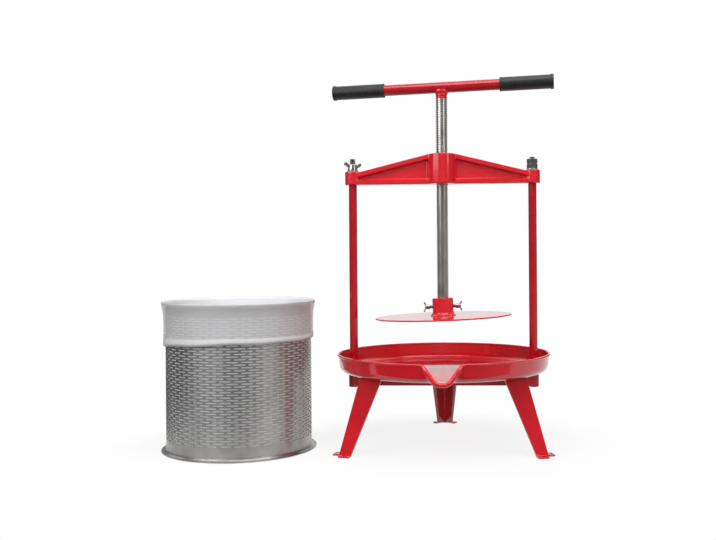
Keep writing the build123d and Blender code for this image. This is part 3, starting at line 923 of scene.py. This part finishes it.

# Handle tube
# A 19 mm steel tube laid across the notched top of the screw and welded there, a little out of square.
# Red enamel, darkened as painted shade, except under the grips.
handle_low, handle_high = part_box("handle_tube")
handle_z = (handle_low.z + handle_high.z) / 2
handle_turn = radians(-7)
handle_tilt = radians(0.85)
handle_radius = 9.5 * mm
handle_bore = handle_radius - 2 * mm
handle_half = 188.25 * mm
handle_edge = 0.4 * mm
handle_middle = Matrix.Translation((0, 0, handle_z)) @ Matrix.Rotation(handle_turn, 4, "Z")
handle_place = handle_middle @ Matrix.Rotation(pi / 2 - handle_tilt, 4, "Y")
handle_bar = cylinder(
    "handle_bar", handle_radius, -handle_half, handle_half, handle_edge, bore=handle_bore, steps=72
)
smooth(handle_bar)
move(handle_bar, handle_place)
dress(handle_bar, shaded_bar_enamel, "screw", "handle_tube")

# Weld at the handle
# A collar of weld that flares in a short throat from the screw to the underside of the tube, rippled by
# hand and enamelled over, in the lighter red that paints in light.
weld_low, weld_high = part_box("handle_weld")
weld_top_radius = (weld_high.y - weld_low.y) / 2
weld_foot = weld_low.z + 5 * mm
weld_throat = weld_foot + 2 * mm
weld_shoulder = weld_foot + 5 * mm
weld_foot_radius = screw_radius + 0.3 * mm
weld_throat_radius = screw_radius + 0.6 * mm
weld_foot_round = 0.2 * mm
weld_throat_round = 2 * mm
weld_shoulder_round = 1.5 * mm
weld_ripple = 0.35 * mm
weld_ripple_count = 22
weld_ripple_twist = 9
weld_skin = 0.2 * mm
weld_outline = [
    (screw_root_radius, weld_foot, 0),
    (weld_foot_radius, weld_foot, weld_foot_round),
    (weld_throat_radius, weld_throat, weld_throat_round),
    (weld_top_radius, weld_shoulder, weld_shoulder_round),
    (weld_top_radius, weld_high.z, 0),
    (screw_root_radius, weld_high.z, 0),
    (screw_root_radius, weld_foot, 0),
]
weld_bead = turned("handle_weld_bead", weld_outline, steps=96, arc_steps=6)
for vertex in weld_bead.data.vertices:
    rise = (vertex.co.z - weld_foot) / (weld_high.z - weld_foot)
    turn = atan2(vertex.co.y, vertex.co.x)
    if vertex.co.xy.length > screw_radius + weld_skin:
        wave = 1 + sin(weld_ripple_count * turn + weld_ripple_twist * rise)
        vertex.co.xy -= vertex.co.xy.normalized() * weld_ripple * rise * wave
tube_cutter = drill(handle_radius + weld_gap, -4 * screw_radius, 4 * screw_radius)
move(tube_cutter, handle_place)
cut(weld_bead, tube_cutter)
smooth(weld_bead, angle=50)
dress(weld_bead, lit_cast_enamel, "screw", "handle_weld")

# Grips
# Two black rubber sleeves pushed over the ends of the tube, closed at the end, with a bead round the
# closed end and a fine moulded grain.
grip_length = 91 * mm
grip_bore = handle_radius + slip_fit
grip_radius = 11.9 * mm
grip_bead_radius = 12.9 * mm
grip_bead_length = 5 * mm
grip_end_wall = 3 * mm
grip_lip_radius = grip_radius + 0.35 * mm
grip_end = handle_half + grip_end_wall
grip_start = grip_end - grip_length
grip_lip_end = grip_start + 2.2 * mm
grip_body_start = grip_start + 3 * mm
grip_bead_start = grip_end - grip_bead_length
grip_body_end = grip_bead_start - 0.6 * mm
grip_lip_round = 0.6 * mm
grip_step_round = 0.5 * mm
grip_body_round = 0.4 * mm
grip_bead_round = 0.8 * mm
grip_end_round = 1.4 * mm
rubber_black = (0.010, 0.010, 0.011, 1)
rubber_grey = (0.022, 0.022, 0.024, 1)
rubber_grain_scale = 900
rubber_grain_height = 0.06 * mm
grip_rubber, rubber_tree, rubber_shader = start_material("moulded grip rubber")
rubber_place = object_place(rubber_tree)
rubber_cells = {"Vector": rubber_place, "Scale": rubber_grain_scale}
rubber_grain = add_node(rubber_tree, "TexVoronoi", rubber_cells, feature="SMOOTH_F1").outputs[0]
rubber_bump = add_node(
    rubber_tree, "Bump", {"Height": rubber_grain, "Strength": 1, "Distance": rubber_grain_height}
).outputs[0]
rubber_cloud = noise(rubber_place, scale=70, detail=4)
rubber_colour = blend(rubber_cloud, rubber_black, rubber_grey)
rubber_roughness = ramp(rubber_cloud, start=0, end=1, low=0.34, high=0.48)
feed(rubber_shader, {"Base Color": rubber_colour, "Roughness": rubber_roughness, "Normal": rubber_bump})
grip_outline = [
    (grip_bore, grip_start, 0),
    (grip_lip_radius, grip_start, grip_lip_round),
    (grip_lip_radius, grip_lip_end, grip_step_round),
    (grip_radius, grip_body_start, grip_body_round),
    (grip_radius, grip_body_end, grip_step_round),
    (grip_bead_radius, grip_bead_start, grip_bead_round),
    (grip_bead_radius, grip_end, grip_end_round),
    (0, grip_end, 0),
    (0, handle_half, 0),
    (grip_bore, handle_half, 0),
    (grip_bore, grip_start, 0),
]
sleeve = turned("sleeve", grip_outline, steps=72)
smooth(sleeve)
for side, sign, half_turn in (("left", -1, pi), ("right", 1, 0)):
    grip_tilt = Matrix.Rotation(pi / 2 - sign * handle_tilt, 4, "Y")
    grip_place = handle_middle @ Matrix.Rotation(half_turn, 4, "Z") @ grip_tilt
    grip = copied(sleeve, f"grip_{side}", grip_place)
    dress(grip, grip_rubber, "screw", f"{side}_grip")
bpy.data.objects.remove(sleeve)

# Press plate
# A flat steel disc that squeezes the fruit, with its edge rounded over. It hangs loosely on the screw
# through its hub and leans a little to the left. Red enamel.
plate_lean = radians(1.85)
plate_radius = 117.3 * mm
plate_top = 220.3 * mm
plate_low = plate_top - 2.5 * mm
plate_edge = 1.1 * mm
groove_z = (groove_low + groove_high) / 2
groove_place = Matrix.Translation((0, 0, groove_z))
lean = groove_place @ Matrix.Rotation(-plate_lean, 4, "Y") @ Matrix.Translation((0, 0, -groove_z))
pressing_plate = cylinder("pressing_plate", plate_radius, plate_low, plate_top, plate_edge, steps=160)
smooth(pressing_plate)
move(pressing_plate, lean)
dress(pressing_plate, sheet_enamel, "press_head", "press_plate")

# Hub of the plate
# A thick sleeve that slips over the end of the screw, cross-drilled and threaded for the two wing
# screws and joined to the plate by a run of weld. Red enamel, in the lighter red that paints in light.
hub_radius = 18 * mm
hub_height = 30.2 * mm
hub_bore = 10.8 * mm
hub_top = plate_top + hub_height
hub_edge = 0.4 * mm
hub_weld = 4.2 * mm
hub_weld_rise = hub_weld * 1.3
hub_weld_waist = hub_weld * 0.4
hub_weld_waist_rise = hub_weld * 0.55
hub_weld_waist_round = 2 * mm
hub_weld_toe_round = 0.3 * mm
hub_weld_top_round = 1.5 * mm
hub_top_round = 1 * mm
hub_mouth_round = 0.6 * mm
hub_weld_foot = 0.05
hub_ripple_count = 30
wing_screw_radius = 3 * mm
wing_screw_gap = 0.2 * mm
hub_outline = [
    (hub_bore, plate_top, 0),
    (hub_radius + hub_weld, plate_top, hub_weld_toe_round),
    (hub_radius + hub_weld_waist, plate_top + hub_weld_waist_rise, hub_weld_waist_round),
    (hub_radius, plate_top + hub_weld_rise, hub_weld_top_round),
    (hub_radius, hub_top, hub_top_round),
    (hub_bore, hub_top, hub_mouth_round),
    (hub_bore, plate_top, 0),
]
pressing_hub = turned("pressing_hub", hub_outline, steps=96)
for vertex in pressing_hub.data.vertices:
    rise = (vertex.co.z - plate_top) / hub_weld_rise
    turn = atan2(vertex.co.y, vertex.co.x)
    if vertex.co.xy.length > hub_radius + weld_skin and rise > hub_weld_foot:
        wave = sin(hub_ripple_count * turn)
        vertex.co.xy += vertex.co.xy.normalized() * weld_ripple * (1 - rise) * wave
cross_drill = drill(wing_screw_radius + wing_screw_gap, -2 * hub_radius, 2 * hub_radius)
move(cross_drill, groove_place @ Matrix.Rotation(pi / 2, 4, "Y"))
cut(pressing_hub, cross_drill)
soften(pressing_hub, hub_edge, segments=2, angle=50)
move(pressing_hub, lean)
dress(pressing_hub, lit_cast_enamel, "press_head", "plate_hub")

# Wing screws
# Two zinc-plated thumb screws through the hub. Their tips run in the screw's groove, so that the plate
# hangs on the screw and stays still while the screw turns.
wing_screw_tip = groove_radius + 0.4 * mm
wing_screw_pitch = 1 * mm
wing_screw_depth = 0.55 * mm
wing_screw_tooth = [(0, wing_screw_depth), (0.5, 0), (1, wing_screw_depth)]
wing_screw_turn = radians(42)
collar_radius = 4.25 * mm
collar_end_radius = collar_radius * 0.85
collar_low = hub_radius + 4 * mm
collar_high = collar_low + 9 * mm
shank_high = collar_low + mm
ears_root = 1.5 * mm
ears_half_span = 11 * mm
ears_half_thickness = 1.3 * mm
ears_low = collar_low + 5.5 * mm
ears_high = collar_low + 11 * mm
wing_screw_grain = 0.3 * mm
collar_outline = [(0, collar_low, 0), (collar_radius, collar_low, 0)]
collar_outline += [(collar_end_radius, collar_high, 0), (0, collar_high, 0)]
thumb_screw = turned("thumb_screw", collar_outline, steps=48)
join(thumb_screw, wings("ears", ears_root, ears_half_span, ears_low, ears_high, ears_half_thickness))
cast(thumb_screw, wing_screw_grain, forged_softening)
shank = thread(
    "shank", wing_screw_radius, wing_screw_tooth, wing_screw_pitch, wing_screw_tip, shank_high, steps=28
)
smooth(shank, angle=20)
join(thumb_screw, shank)
for side, sign in (("left", -1), ("right", 1)):
    axis = Vector((sign, 0, 0))
    ear_line = Vector((0, cos(wing_screw_turn), sin(wing_screw_turn)))
    turn = Matrix((ear_line, axis.cross(ear_line), axis)).transposed().to_4x4()
    wing_screw = copied(thumb_screw, f"wing_screw_{side}", lean @ groove_place @ turn)
    dress(wing_screw, zinc, f"{side}_wing_screw", f"{side}_wing_screw")
bpy.data.objects.remove(thumb_screw)

# Basket
# A band of stainless sheet, punched all over with staggered slots, rolled to a drum and seam welded,
# with both edges turned out: a wide foot below and a narrow rim above. Left bare.
basket_low, basket_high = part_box("basket")
basket_centre = (basket_low + basket_high) / 2
basket_place = Matrix.Translation((basket_centre.x, basket_centre.y, 0))
basket_radius = 121.75 * mm
basket_sheet = 1.2 * mm
basket_foot_radius = (basket_high.x - basket_low.x) / 2
basket_rim_radius = 128.25 * mm
basket_foot_bend = 5 * mm
basket_rim_bend = 3 * mm
slot_count = 33
slot_row_pairs = 24
slot_length = 18.6 * mm
slot_half_height = 1.05 * mm
slot_row_pitch = 4.28 * mm
slot_pitch = tau * basket_radius / slot_count
slots_low = 22 * mm
slots_high = slots_low + 2 * slot_row_pairs * slot_row_pitch
stainless_light = (0.45, 0.442, 0.43, 1)
stainless_dark = (0.34, 0.333, 0.325, 1)

# One slot in its cell of sheet: a strip is filled between the cell's edge and the round-ended slot.
slot_straight = slot_length / 2 - slot_half_height
slot_edge = []
for end_turn in (-90, -45, 0, 45, 90):
    end_x = slot_straight + slot_half_height * cos(radians(end_turn))
    slot_edge.append((end_x, slot_half_height * sin(radians(end_turn))))
slot_edge.append((0, slot_half_height))
slot_edge += [(-x, -z) for x, z in slot_edge]
cell_edge = [(slot_pitch / 4 * k, -slot_row_pitch / 2) for k in range(-2, 3)]
cell_edge += [(-x, -z) for x, z in cell_edge]
slotted_basket = loop("slotted_basket", [Vector((x, 0, z)) for x, z in slot_edge])
join(slotted_basket, loop("cell_frame", [Vector((x, 0, z)) for x, z in cell_edge]))
bpy.ops.object.mode_set(mode="EDIT")
bpy.ops.mesh.select_all(action="SELECT")
bpy.ops.mesh.fill(use_beauty=True)
bpy.ops.mesh.tris_convert_to_quads()
bpy.ops.object.mode_set(mode="OBJECT")
for count, offset in (
    (2, (slot_pitch / 2, 0, slot_row_pitch)),
    (slot_count, (slot_pitch, 0, 0)),
    (slot_row_pairs, (0, 0, 2 * slot_row_pitch)),
):
    modify(
        slotted_basket, "ARRAY", count=count, use_relative_offset=False,
        use_constant_offset=True, constant_offset_displace=offset,
    )
for vertex in slotted_basket.data.vertices:
    turn = vertex.co.x / basket_radius
    height = slots_low + slot_row_pitch / 2 + vertex.co.z
    vertex.co = Vector((basket_radius * cos(turn), basket_radius * sin(turn), height))
bpy.ops.object.mode_set(mode="EDIT")
bpy.ops.mesh.select_all(action="SELECT")
bpy.ops.mesh.remove_doubles(threshold=4 * seam)


def turn_out(piece, from_z, corner_z, bend, edge_radius):
    """Carry the edge of the drum at from_z on to a corner and out to a flange, ring by ring."""
    corners = [(basket_radius, from_z, 0), (basket_radius, corner_z, bend), (edge_radius, corner_z, 0)]
    points = rounded([((radius, 0, z), soft) for radius, z, soft in corners])
    pick_edges(piece, lambda place: abs(place.z - from_z) < 10 * hair)
    for here, there in zip(points, points[1:]):
        bpy.ops.mesh.extrude_edges_move(TRANSFORM_OT_translate={"value": (0, 0, there.z - here.z)})
        scale = there.x / here.x
        bpy.ops.transform.resize(value=(scale, scale, 1), center_override=(0, 0, 0))
    bpy.ops.object.mode_set(mode="OBJECT")


turn_out(slotted_basket, slots_low, basket_low.z + basket_sheet, basket_foot_bend, basket_foot_radius)
turn_out(slotted_basket, slots_high, basket_high.z - basket_sheet, basket_rim_bend, basket_rim_radius)
bpy.ops.object.mode_set(mode="EDIT")
close_up()
side_face = max(slotted_basket.data.polygons, key=lambda face: abs(face.normal.x))
if side_face.normal.x * side_face.center.x < 0:
    slotted_basket.data.flip_normals()
modify(slotted_basket, "SOLIDIFY", thickness=basket_sheet, offset=-1, use_even_offset=True)
smooth(slotted_basket, angle=40)
stainless_grain = {"stretch": (40, 40, 1400), "roughness": 0.40, "height": 0.01 * mm}
stainless = bare_metal("slotted stainless", stainless_light, stainless_dark, **stainless_grain)
feed(stainless.node_tree.nodes["Principled BSDF"], {"Anisotropic": 0.8, "Anisotropic Rotation": 0.25})
move(slotted_basket, basket_place)
dress(slotted_basket, stainless, "basket", "basket")

# Filter bag
# A sewn bag of sheer white nylon mesh that lines the basket, with its mouth turned down over the rim as
# a loose cuff and a doubled hem along the edge of the cuff.
bag_low, bag_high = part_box("filter_bag")
bag_radius = basket_radius - basket_sheet - 0.3 * mm
bag_floor_z = bag_low.z + 0.4 * mm
bag_toe_radius = bag_radius - 4 * mm
bag_cuff_radius = basket_rim_radius + 0.7 * mm
bag_roll = 4.2 * mm
bag_roll_z = bag_high.z - 0.6 * mm
bag_roll_round = bag_roll * 0.7
bag_roll_edge = 1 * mm
bag_cuff = 67 * mm
bag_cuff_low = bag_high.z - bag_cuff
hem_height = 10 * mm
hem_seam = 1.5 * mm
hem_turn = 0.3 * mm
hem_radius = bag_cuff_radius + 0.5 * mm
hem_back_radius = bag_cuff_radius - 0.1 * mm
cuff_hug = 4.2 * mm
cuff_flutter = 0.9 * mm
cuff_lift = 3.2 * mm
lining_slack = 0.5 * mm
pucker_height = 0.6 * mm
back_puff = 3.6 * mm
bag_steps = 180
bag_white = (0.89, 0.89, 0.908, 1)
bag_grey = (0.83, 0.83, 0.852, 1)
mesh_count = 640
bag_corners = [(0, bag_floor_z, 0), (bag_radius * 0.5, bag_floor_z, 0), (bag_toe_radius, bag_floor_z, 0)]
bag_corners += [(bag_radius, bag_floor_z + rise * mm, 0) for rise in (5, 60, 120, 180)]
bag_corners += [
    (bag_radius, bag_high.z - bag_roll * 2, 0),
    (bag_radius, bag_roll_z, bag_roll_round),
    (bag_cuff_radius, bag_roll_z, bag_roll_edge),
]
cuff_drops = (6, 9, 13, 19, 26, 34, 42, 50, 55, 57)
bag_corners += [(bag_cuff_radius, bag_high.z - drop * mm, 0) for drop in cuff_drops]
bag_corners += [
    (hem_radius, bag_cuff_low + hem_height - hem_seam, 0),
    (hem_radius, bag_cuff_low + hem_height / 2, 0),
    (hem_radius, bag_cuff_low, 0),
    (hem_back_radius, bag_cuff_low + hem_turn, 0),
    (hem_back_radius, bag_cuff_low + hem_height, 0),
]
mesh_bag = turned("mesh_bag", bag_corners, steps=bag_steps)

# The cloth hangs unevenly: a few waves round the bag make the cuff flutter and its hem rise and fall,
# slacken the lining and pucker the roll, which stands up higher at the back.
for vertex in mesh_bag.data.vertices:
    place = vertex.co
    turn = atan2(place.y, place.x)
    out = place.xy.length
    roll_share = min(max(1 - (bag_high.z - place.z) / (2 * bag_roll), 0), 1)
    if out > basket_rim_radius and place.z < bag_high.z - bag_roll:
        drop = (bag_high.z - bag_roll - place.z) / (bag_cuff - bag_roll)
        flutter = 0.45 * sin(7 * turn + 0.6) + 0.3 * sin(13 * turn + 2.1) + 0.25 * sin(29 * turn)
        hug = cuff_hug * (1 - (1 - drop) ** 6) - (0.5 + 0.5 * flutter) * drop * cuff_flutter
        place.xy = place.xy.normalized() * (out - hug)
        lift = 1.3 * cos(turn) + 0.35 * sin(3 * turn) + 0.2 * sin(8 * turn + 1.0)
        place.z += (0.4 + lift) * drop**2 * cuff_lift
    elif roll_share == 0 and out > bag_radius * 0.9:
        inward = 0.5 + 0.5 * sin(9 * turn + 14 * place.z / bag_radius)
        place.xy = place.xy.normalized() * (out - inward * lining_slack)
    pucker = 0.35 * sin(11 * turn + 1.2) + 0.3 * sin(19 * turn) + 0.2 * sin(31 * turn + 0.4)
    place.z += roll_share * (back_puff * (0.5 + 0.5 * sin(turn)) + (pucker + 0.5) * pucker_height)
take(mesh_bag)
bpy.ops.object.shade_smooth()

# The mesh is sheer between its yarns where it hangs outside the basket, and closer along the hem.
bag_mesh, bag_tree, bag_shader = start_material("white nylon mesh")
bag_place = object_place(bag_tree)
bag_shift = {"Vector": bag_place, "Location": (-basket_centre.x, -basket_centre.y, 0)}
bag_centred = add_node(bag_tree, "Mapping", bag_shift).outputs[0]
bag_x, bag_y, bag_z = add_node(bag_tree, "SeparateXYZ", {0: bag_centred}).outputs
bag_turn = calc("ARCTAN2", bag_y, bag_x)
bag_flat = add_node(bag_tree, "CombineXYZ", {0: bag_x, 1: bag_y}).outputs[0]
bag_out = add_node(bag_tree, "VectorMath", {0: bag_flat}, operation="LENGTH").outputs["Value"]


def yarn(value, scale):
    """How near a place is to a yarn, from 0 between the yarns to 1 on one."""
    return ramp(calc("SINE", calc("MULTIPLY", scale, value)), start=-1, end=1)


round_yarn = yarn(bag_turn, mesh_count)
up_yarn = yarn(bag_z, mesh_count / basket_radius)
weave = calc("MAXIMUM", round_yarn, up_yarn)
hem_top = bag_cuff_low + hem_height + hem_seam
thin_cover = ramp(bag_out, start=basket_radius, end=basket_radius + mm, low=0.9, high=0.1)
hem_cover = ramp(bag_z, start=hem_top + 2 * mm, end=hem_top, high=0.5)
least_cover = calc("MAXIMUM", thin_cover, hem_cover)
cover = ramp(weave, start=0.55, end=0.95, low=least_cover)
bag_tone = blend(noise(bag_place, scale=30, detail=3), bag_white, bag_grey)
bag_bump = add_node(bag_tree, "Bump", {"Height": weave, "Strength": 0.4, "Distance": 0.15 * mm})
feed(bag_shader, {"Base Color": bag_tone, "Alpha": cover, "Normal": bag_bump.outputs[0]})
feed(bag_shader, {"Roughness": 0.6, "Sheen Weight": 0.2})
move(mesh_bag, basket_place)
dress(mesh_bag, bag_mesh, "filter_bag", "filter_bag")

# Studio
# A white table and white surroundings, soft boxes at both sides, above and in front, and the camera
# about a metre and a half away, a little above the height of the press plate's hub.
floor_left = 0.62
floor_right = 0.8
floor_back = 2.2
floor_front = 0.23
shadow_share = 0.14
shadow_places = [((0, 0, 0), 0.2, 0.35), (tuple(basket_centre.xy) + (0,), 0.14, 0.26)]
white = (1, 1, 1, 1)
table_colour = (0.9, 0.9, 0.9, 1)
table_bounce_colour = (0.4, 0.4, 0.4, 1)
bench_colour = (0.60, 0.56, 0.53, 1)
bpy.ops.object.select_all(action="DESELECT")
bpy.ops.mesh.primitive_plane_add(size=1)
table = bpy.context.object
table.name = "table"
table.scale = (floor_left + floor_right, floor_back + floor_front, 1)
table.location = ((floor_right - floor_left) / 2, (floor_back - floor_front) / 2, 0)
table_white, table_tree, table_shader = start_material("white table")
table_light = add_node(table_tree, "Emission", {"Color": white, "Strength": 1}).outputs[0]
table_ray = add_node(table_tree, "LightPath").outputs
table_bounce = blend(table_ray["Is Diffuse Ray"], table_colour, table_bounce_colour)
feed(table_shader, {"Base Color": table_bounce, "Roughness": 0.7, "Specular IOR Level": 0.1})
table_place = add_node(table_tree, "NewGeometry").outputs["Position"]
white_shares = []
for shadow_middle, near, far in shadow_places:
    away = add_node(table_tree, "VectorMath", {0: table_place, 1: shadow_middle}, operation="DISTANCE")
    white_shares.append(ramp(away.outputs["Value"], near, far, low=1 - shadow_share, kind="SMOOTHSTEP"))
table_seen = calc("MAXIMUM", table_ray["Is Camera Ray"], table_ray["Is Glossy Ray"])
table_lift = calc("MULTIPLY", table_seen, calc("MINIMUM", *white_shares))
table_mix = add_node(table_tree, "MixShader", {0: table_lift, 1: table_shader.outputs[0], 2: table_light})
feed(table_tree.nodes["Material Output"], {"Surface": table_mix.outputs[0]})
table.data.materials.append(table_white)

# The gloss shows a pale patch straight behind, light from above and behind, and a bench at the right.
studio = bpy.data.worlds.new("studio")
bpy.context.scene.world = studio
studio.use_nodes = True
world_tree = studio.node_tree
world_tree.nodes.clear()
world_ray = add_node(world_tree, "LightPath").outputs
direction = add_node(world_tree, "TexCoord").outputs["Generated"]
to_right, to_back, to_top = add_node(world_tree, "SeparateXYZ", {0: direction}).outputs
behind = ramp(to_back, start=0.92, end=0.985, low=0.14, high=0.9, kind="SMOOTHSTEP")
beside_low = ramp(to_top, start=0.1, end=0.02, high=0.22)
beside = ramp(to_right, start=0.3, end=0.9, high=beside_low)
bench_near = ramp(to_top, start=-0.3, end=-0.2)
bench_far = ramp(to_top, start=-0.02, end=-0.07)
bench_side = ramp(to_right, start=0.1, end=0.85, kind="SMOOTHSTEP")
bench_band = calc("MULTIPLY", bench_near, bench_far)
bench = calc("MULTIPLY", bench_band, bench_side)
bench_glow = 0.12
below = calc("MULTIPLY_ADD", bench_band, bench_glow, beside)
above = ramp(to_top, start=0.3, end=0.55)
above_behind = ramp(to_back, start=0.05, end=0.4, high=1.3)
back_light = calc("MULTIPLY_ADD", above, above_behind, below)
around = blend(bench, calc("ADD", behind, back_light), bench_colour)
light_from = Vector((0.18, -0.8, 0.58)).normalized()
facing = add_node(world_tree, "VectorMath", {0: direction, 1: light_from}, operation="DOT_PRODUCT")
soft_light = ramp(facing.outputs["Value"], start=0.3, end=1, low=0.04, high=0.78, kind="SMOOTHSTEP")


def background(colour, strength):
    """One look of the surroundings."""
    return add_node(world_tree, "Background", {"Color": colour, "Strength": strength}).outputs[0]


def either(share, first, second):
    """A mix of two looks of the surroundings."""
    return add_node(world_tree, "MixShader", {0: share, 1: first, 2: second}).outputs[0]


mirror_ray = calc("MAXIMUM", world_ray["Is Glossy Ray"], world_ray["Is Transmission Ray"])
not_seen = either(mirror_ray, background(white, soft_light), background(around, 1))
surroundings = either(world_ray["Is Camera Ray"], not_seen, background(white, 1))
add_node(world_tree, "OutputWorld", {"Surface": surroundings})


def soft_box(name, place, aim, size, watts):
    """A soft box that lights the object and shows in its gloss, and not in the picture itself."""
    bpy.ops.object.light_add(type="AREA", location=place)
    lamp = bpy.context.object
    lamp.name = name
    lamp.data.shape = "RECTANGLE"
    lamp.data.size, lamp.data.size_y = size
    lamp.data.energy = watts
    lamp.rotation_euler = (Vector(aim) - Vector(place)).to_track_quat("-Z", "Y").to_euler()
    lamp.visible_camera = False
    return lamp


soft_box("left_soft_box", place=(-0.95, -0.8, 0.98), aim=(0, 0, 0.45), size=(1.1, 0.8), watts=8)
soft_box("right_soft_box", place=(0.92, -0.82, 0.95), aim=(0, 0, 0.45), size=(0.3, 0.7), watts=2)
soft_box("top_soft_box", place=(0.2, -0.55, 1.7), aim=(0, 0, 0.3), size=(1.6, 1.0), watts=16)
front_fill = soft_box("front_fill", place=(0.15, -2.3, 0.5), aim=(0, 0, 0.2), size=(1.2, 0.4), watts=6)
front_fill.visible_glossy = False

picture_width = 716
focal_pixels = 891.7
camera_place = (0.01808, -1.53651, 0.31478)
camera_turn = radians(2.849)
camera_roll = radians(-0.423)
bpy.ops.object.camera_add(location=camera_place)
camera = bpy.context.object
camera_level = Matrix.Rotation(camera_turn, 4, "Z") @ Matrix.Rotation(pi / 2, 4, "X")
camera.rotation_euler = (camera_level @ Matrix.Rotation(camera_roll, 4, "Z")).to_euler()
camera.data.sensor_width = 36
camera.data.lens = focal_pixels / picture_width * camera.data.sensor_width
camera.data.shift_x = -0.07093
camera.data.shift_y = -0.01283
bpy.context.scene.camera = camera
bpy.context.scene.view_settings.view_transform = "Standard"
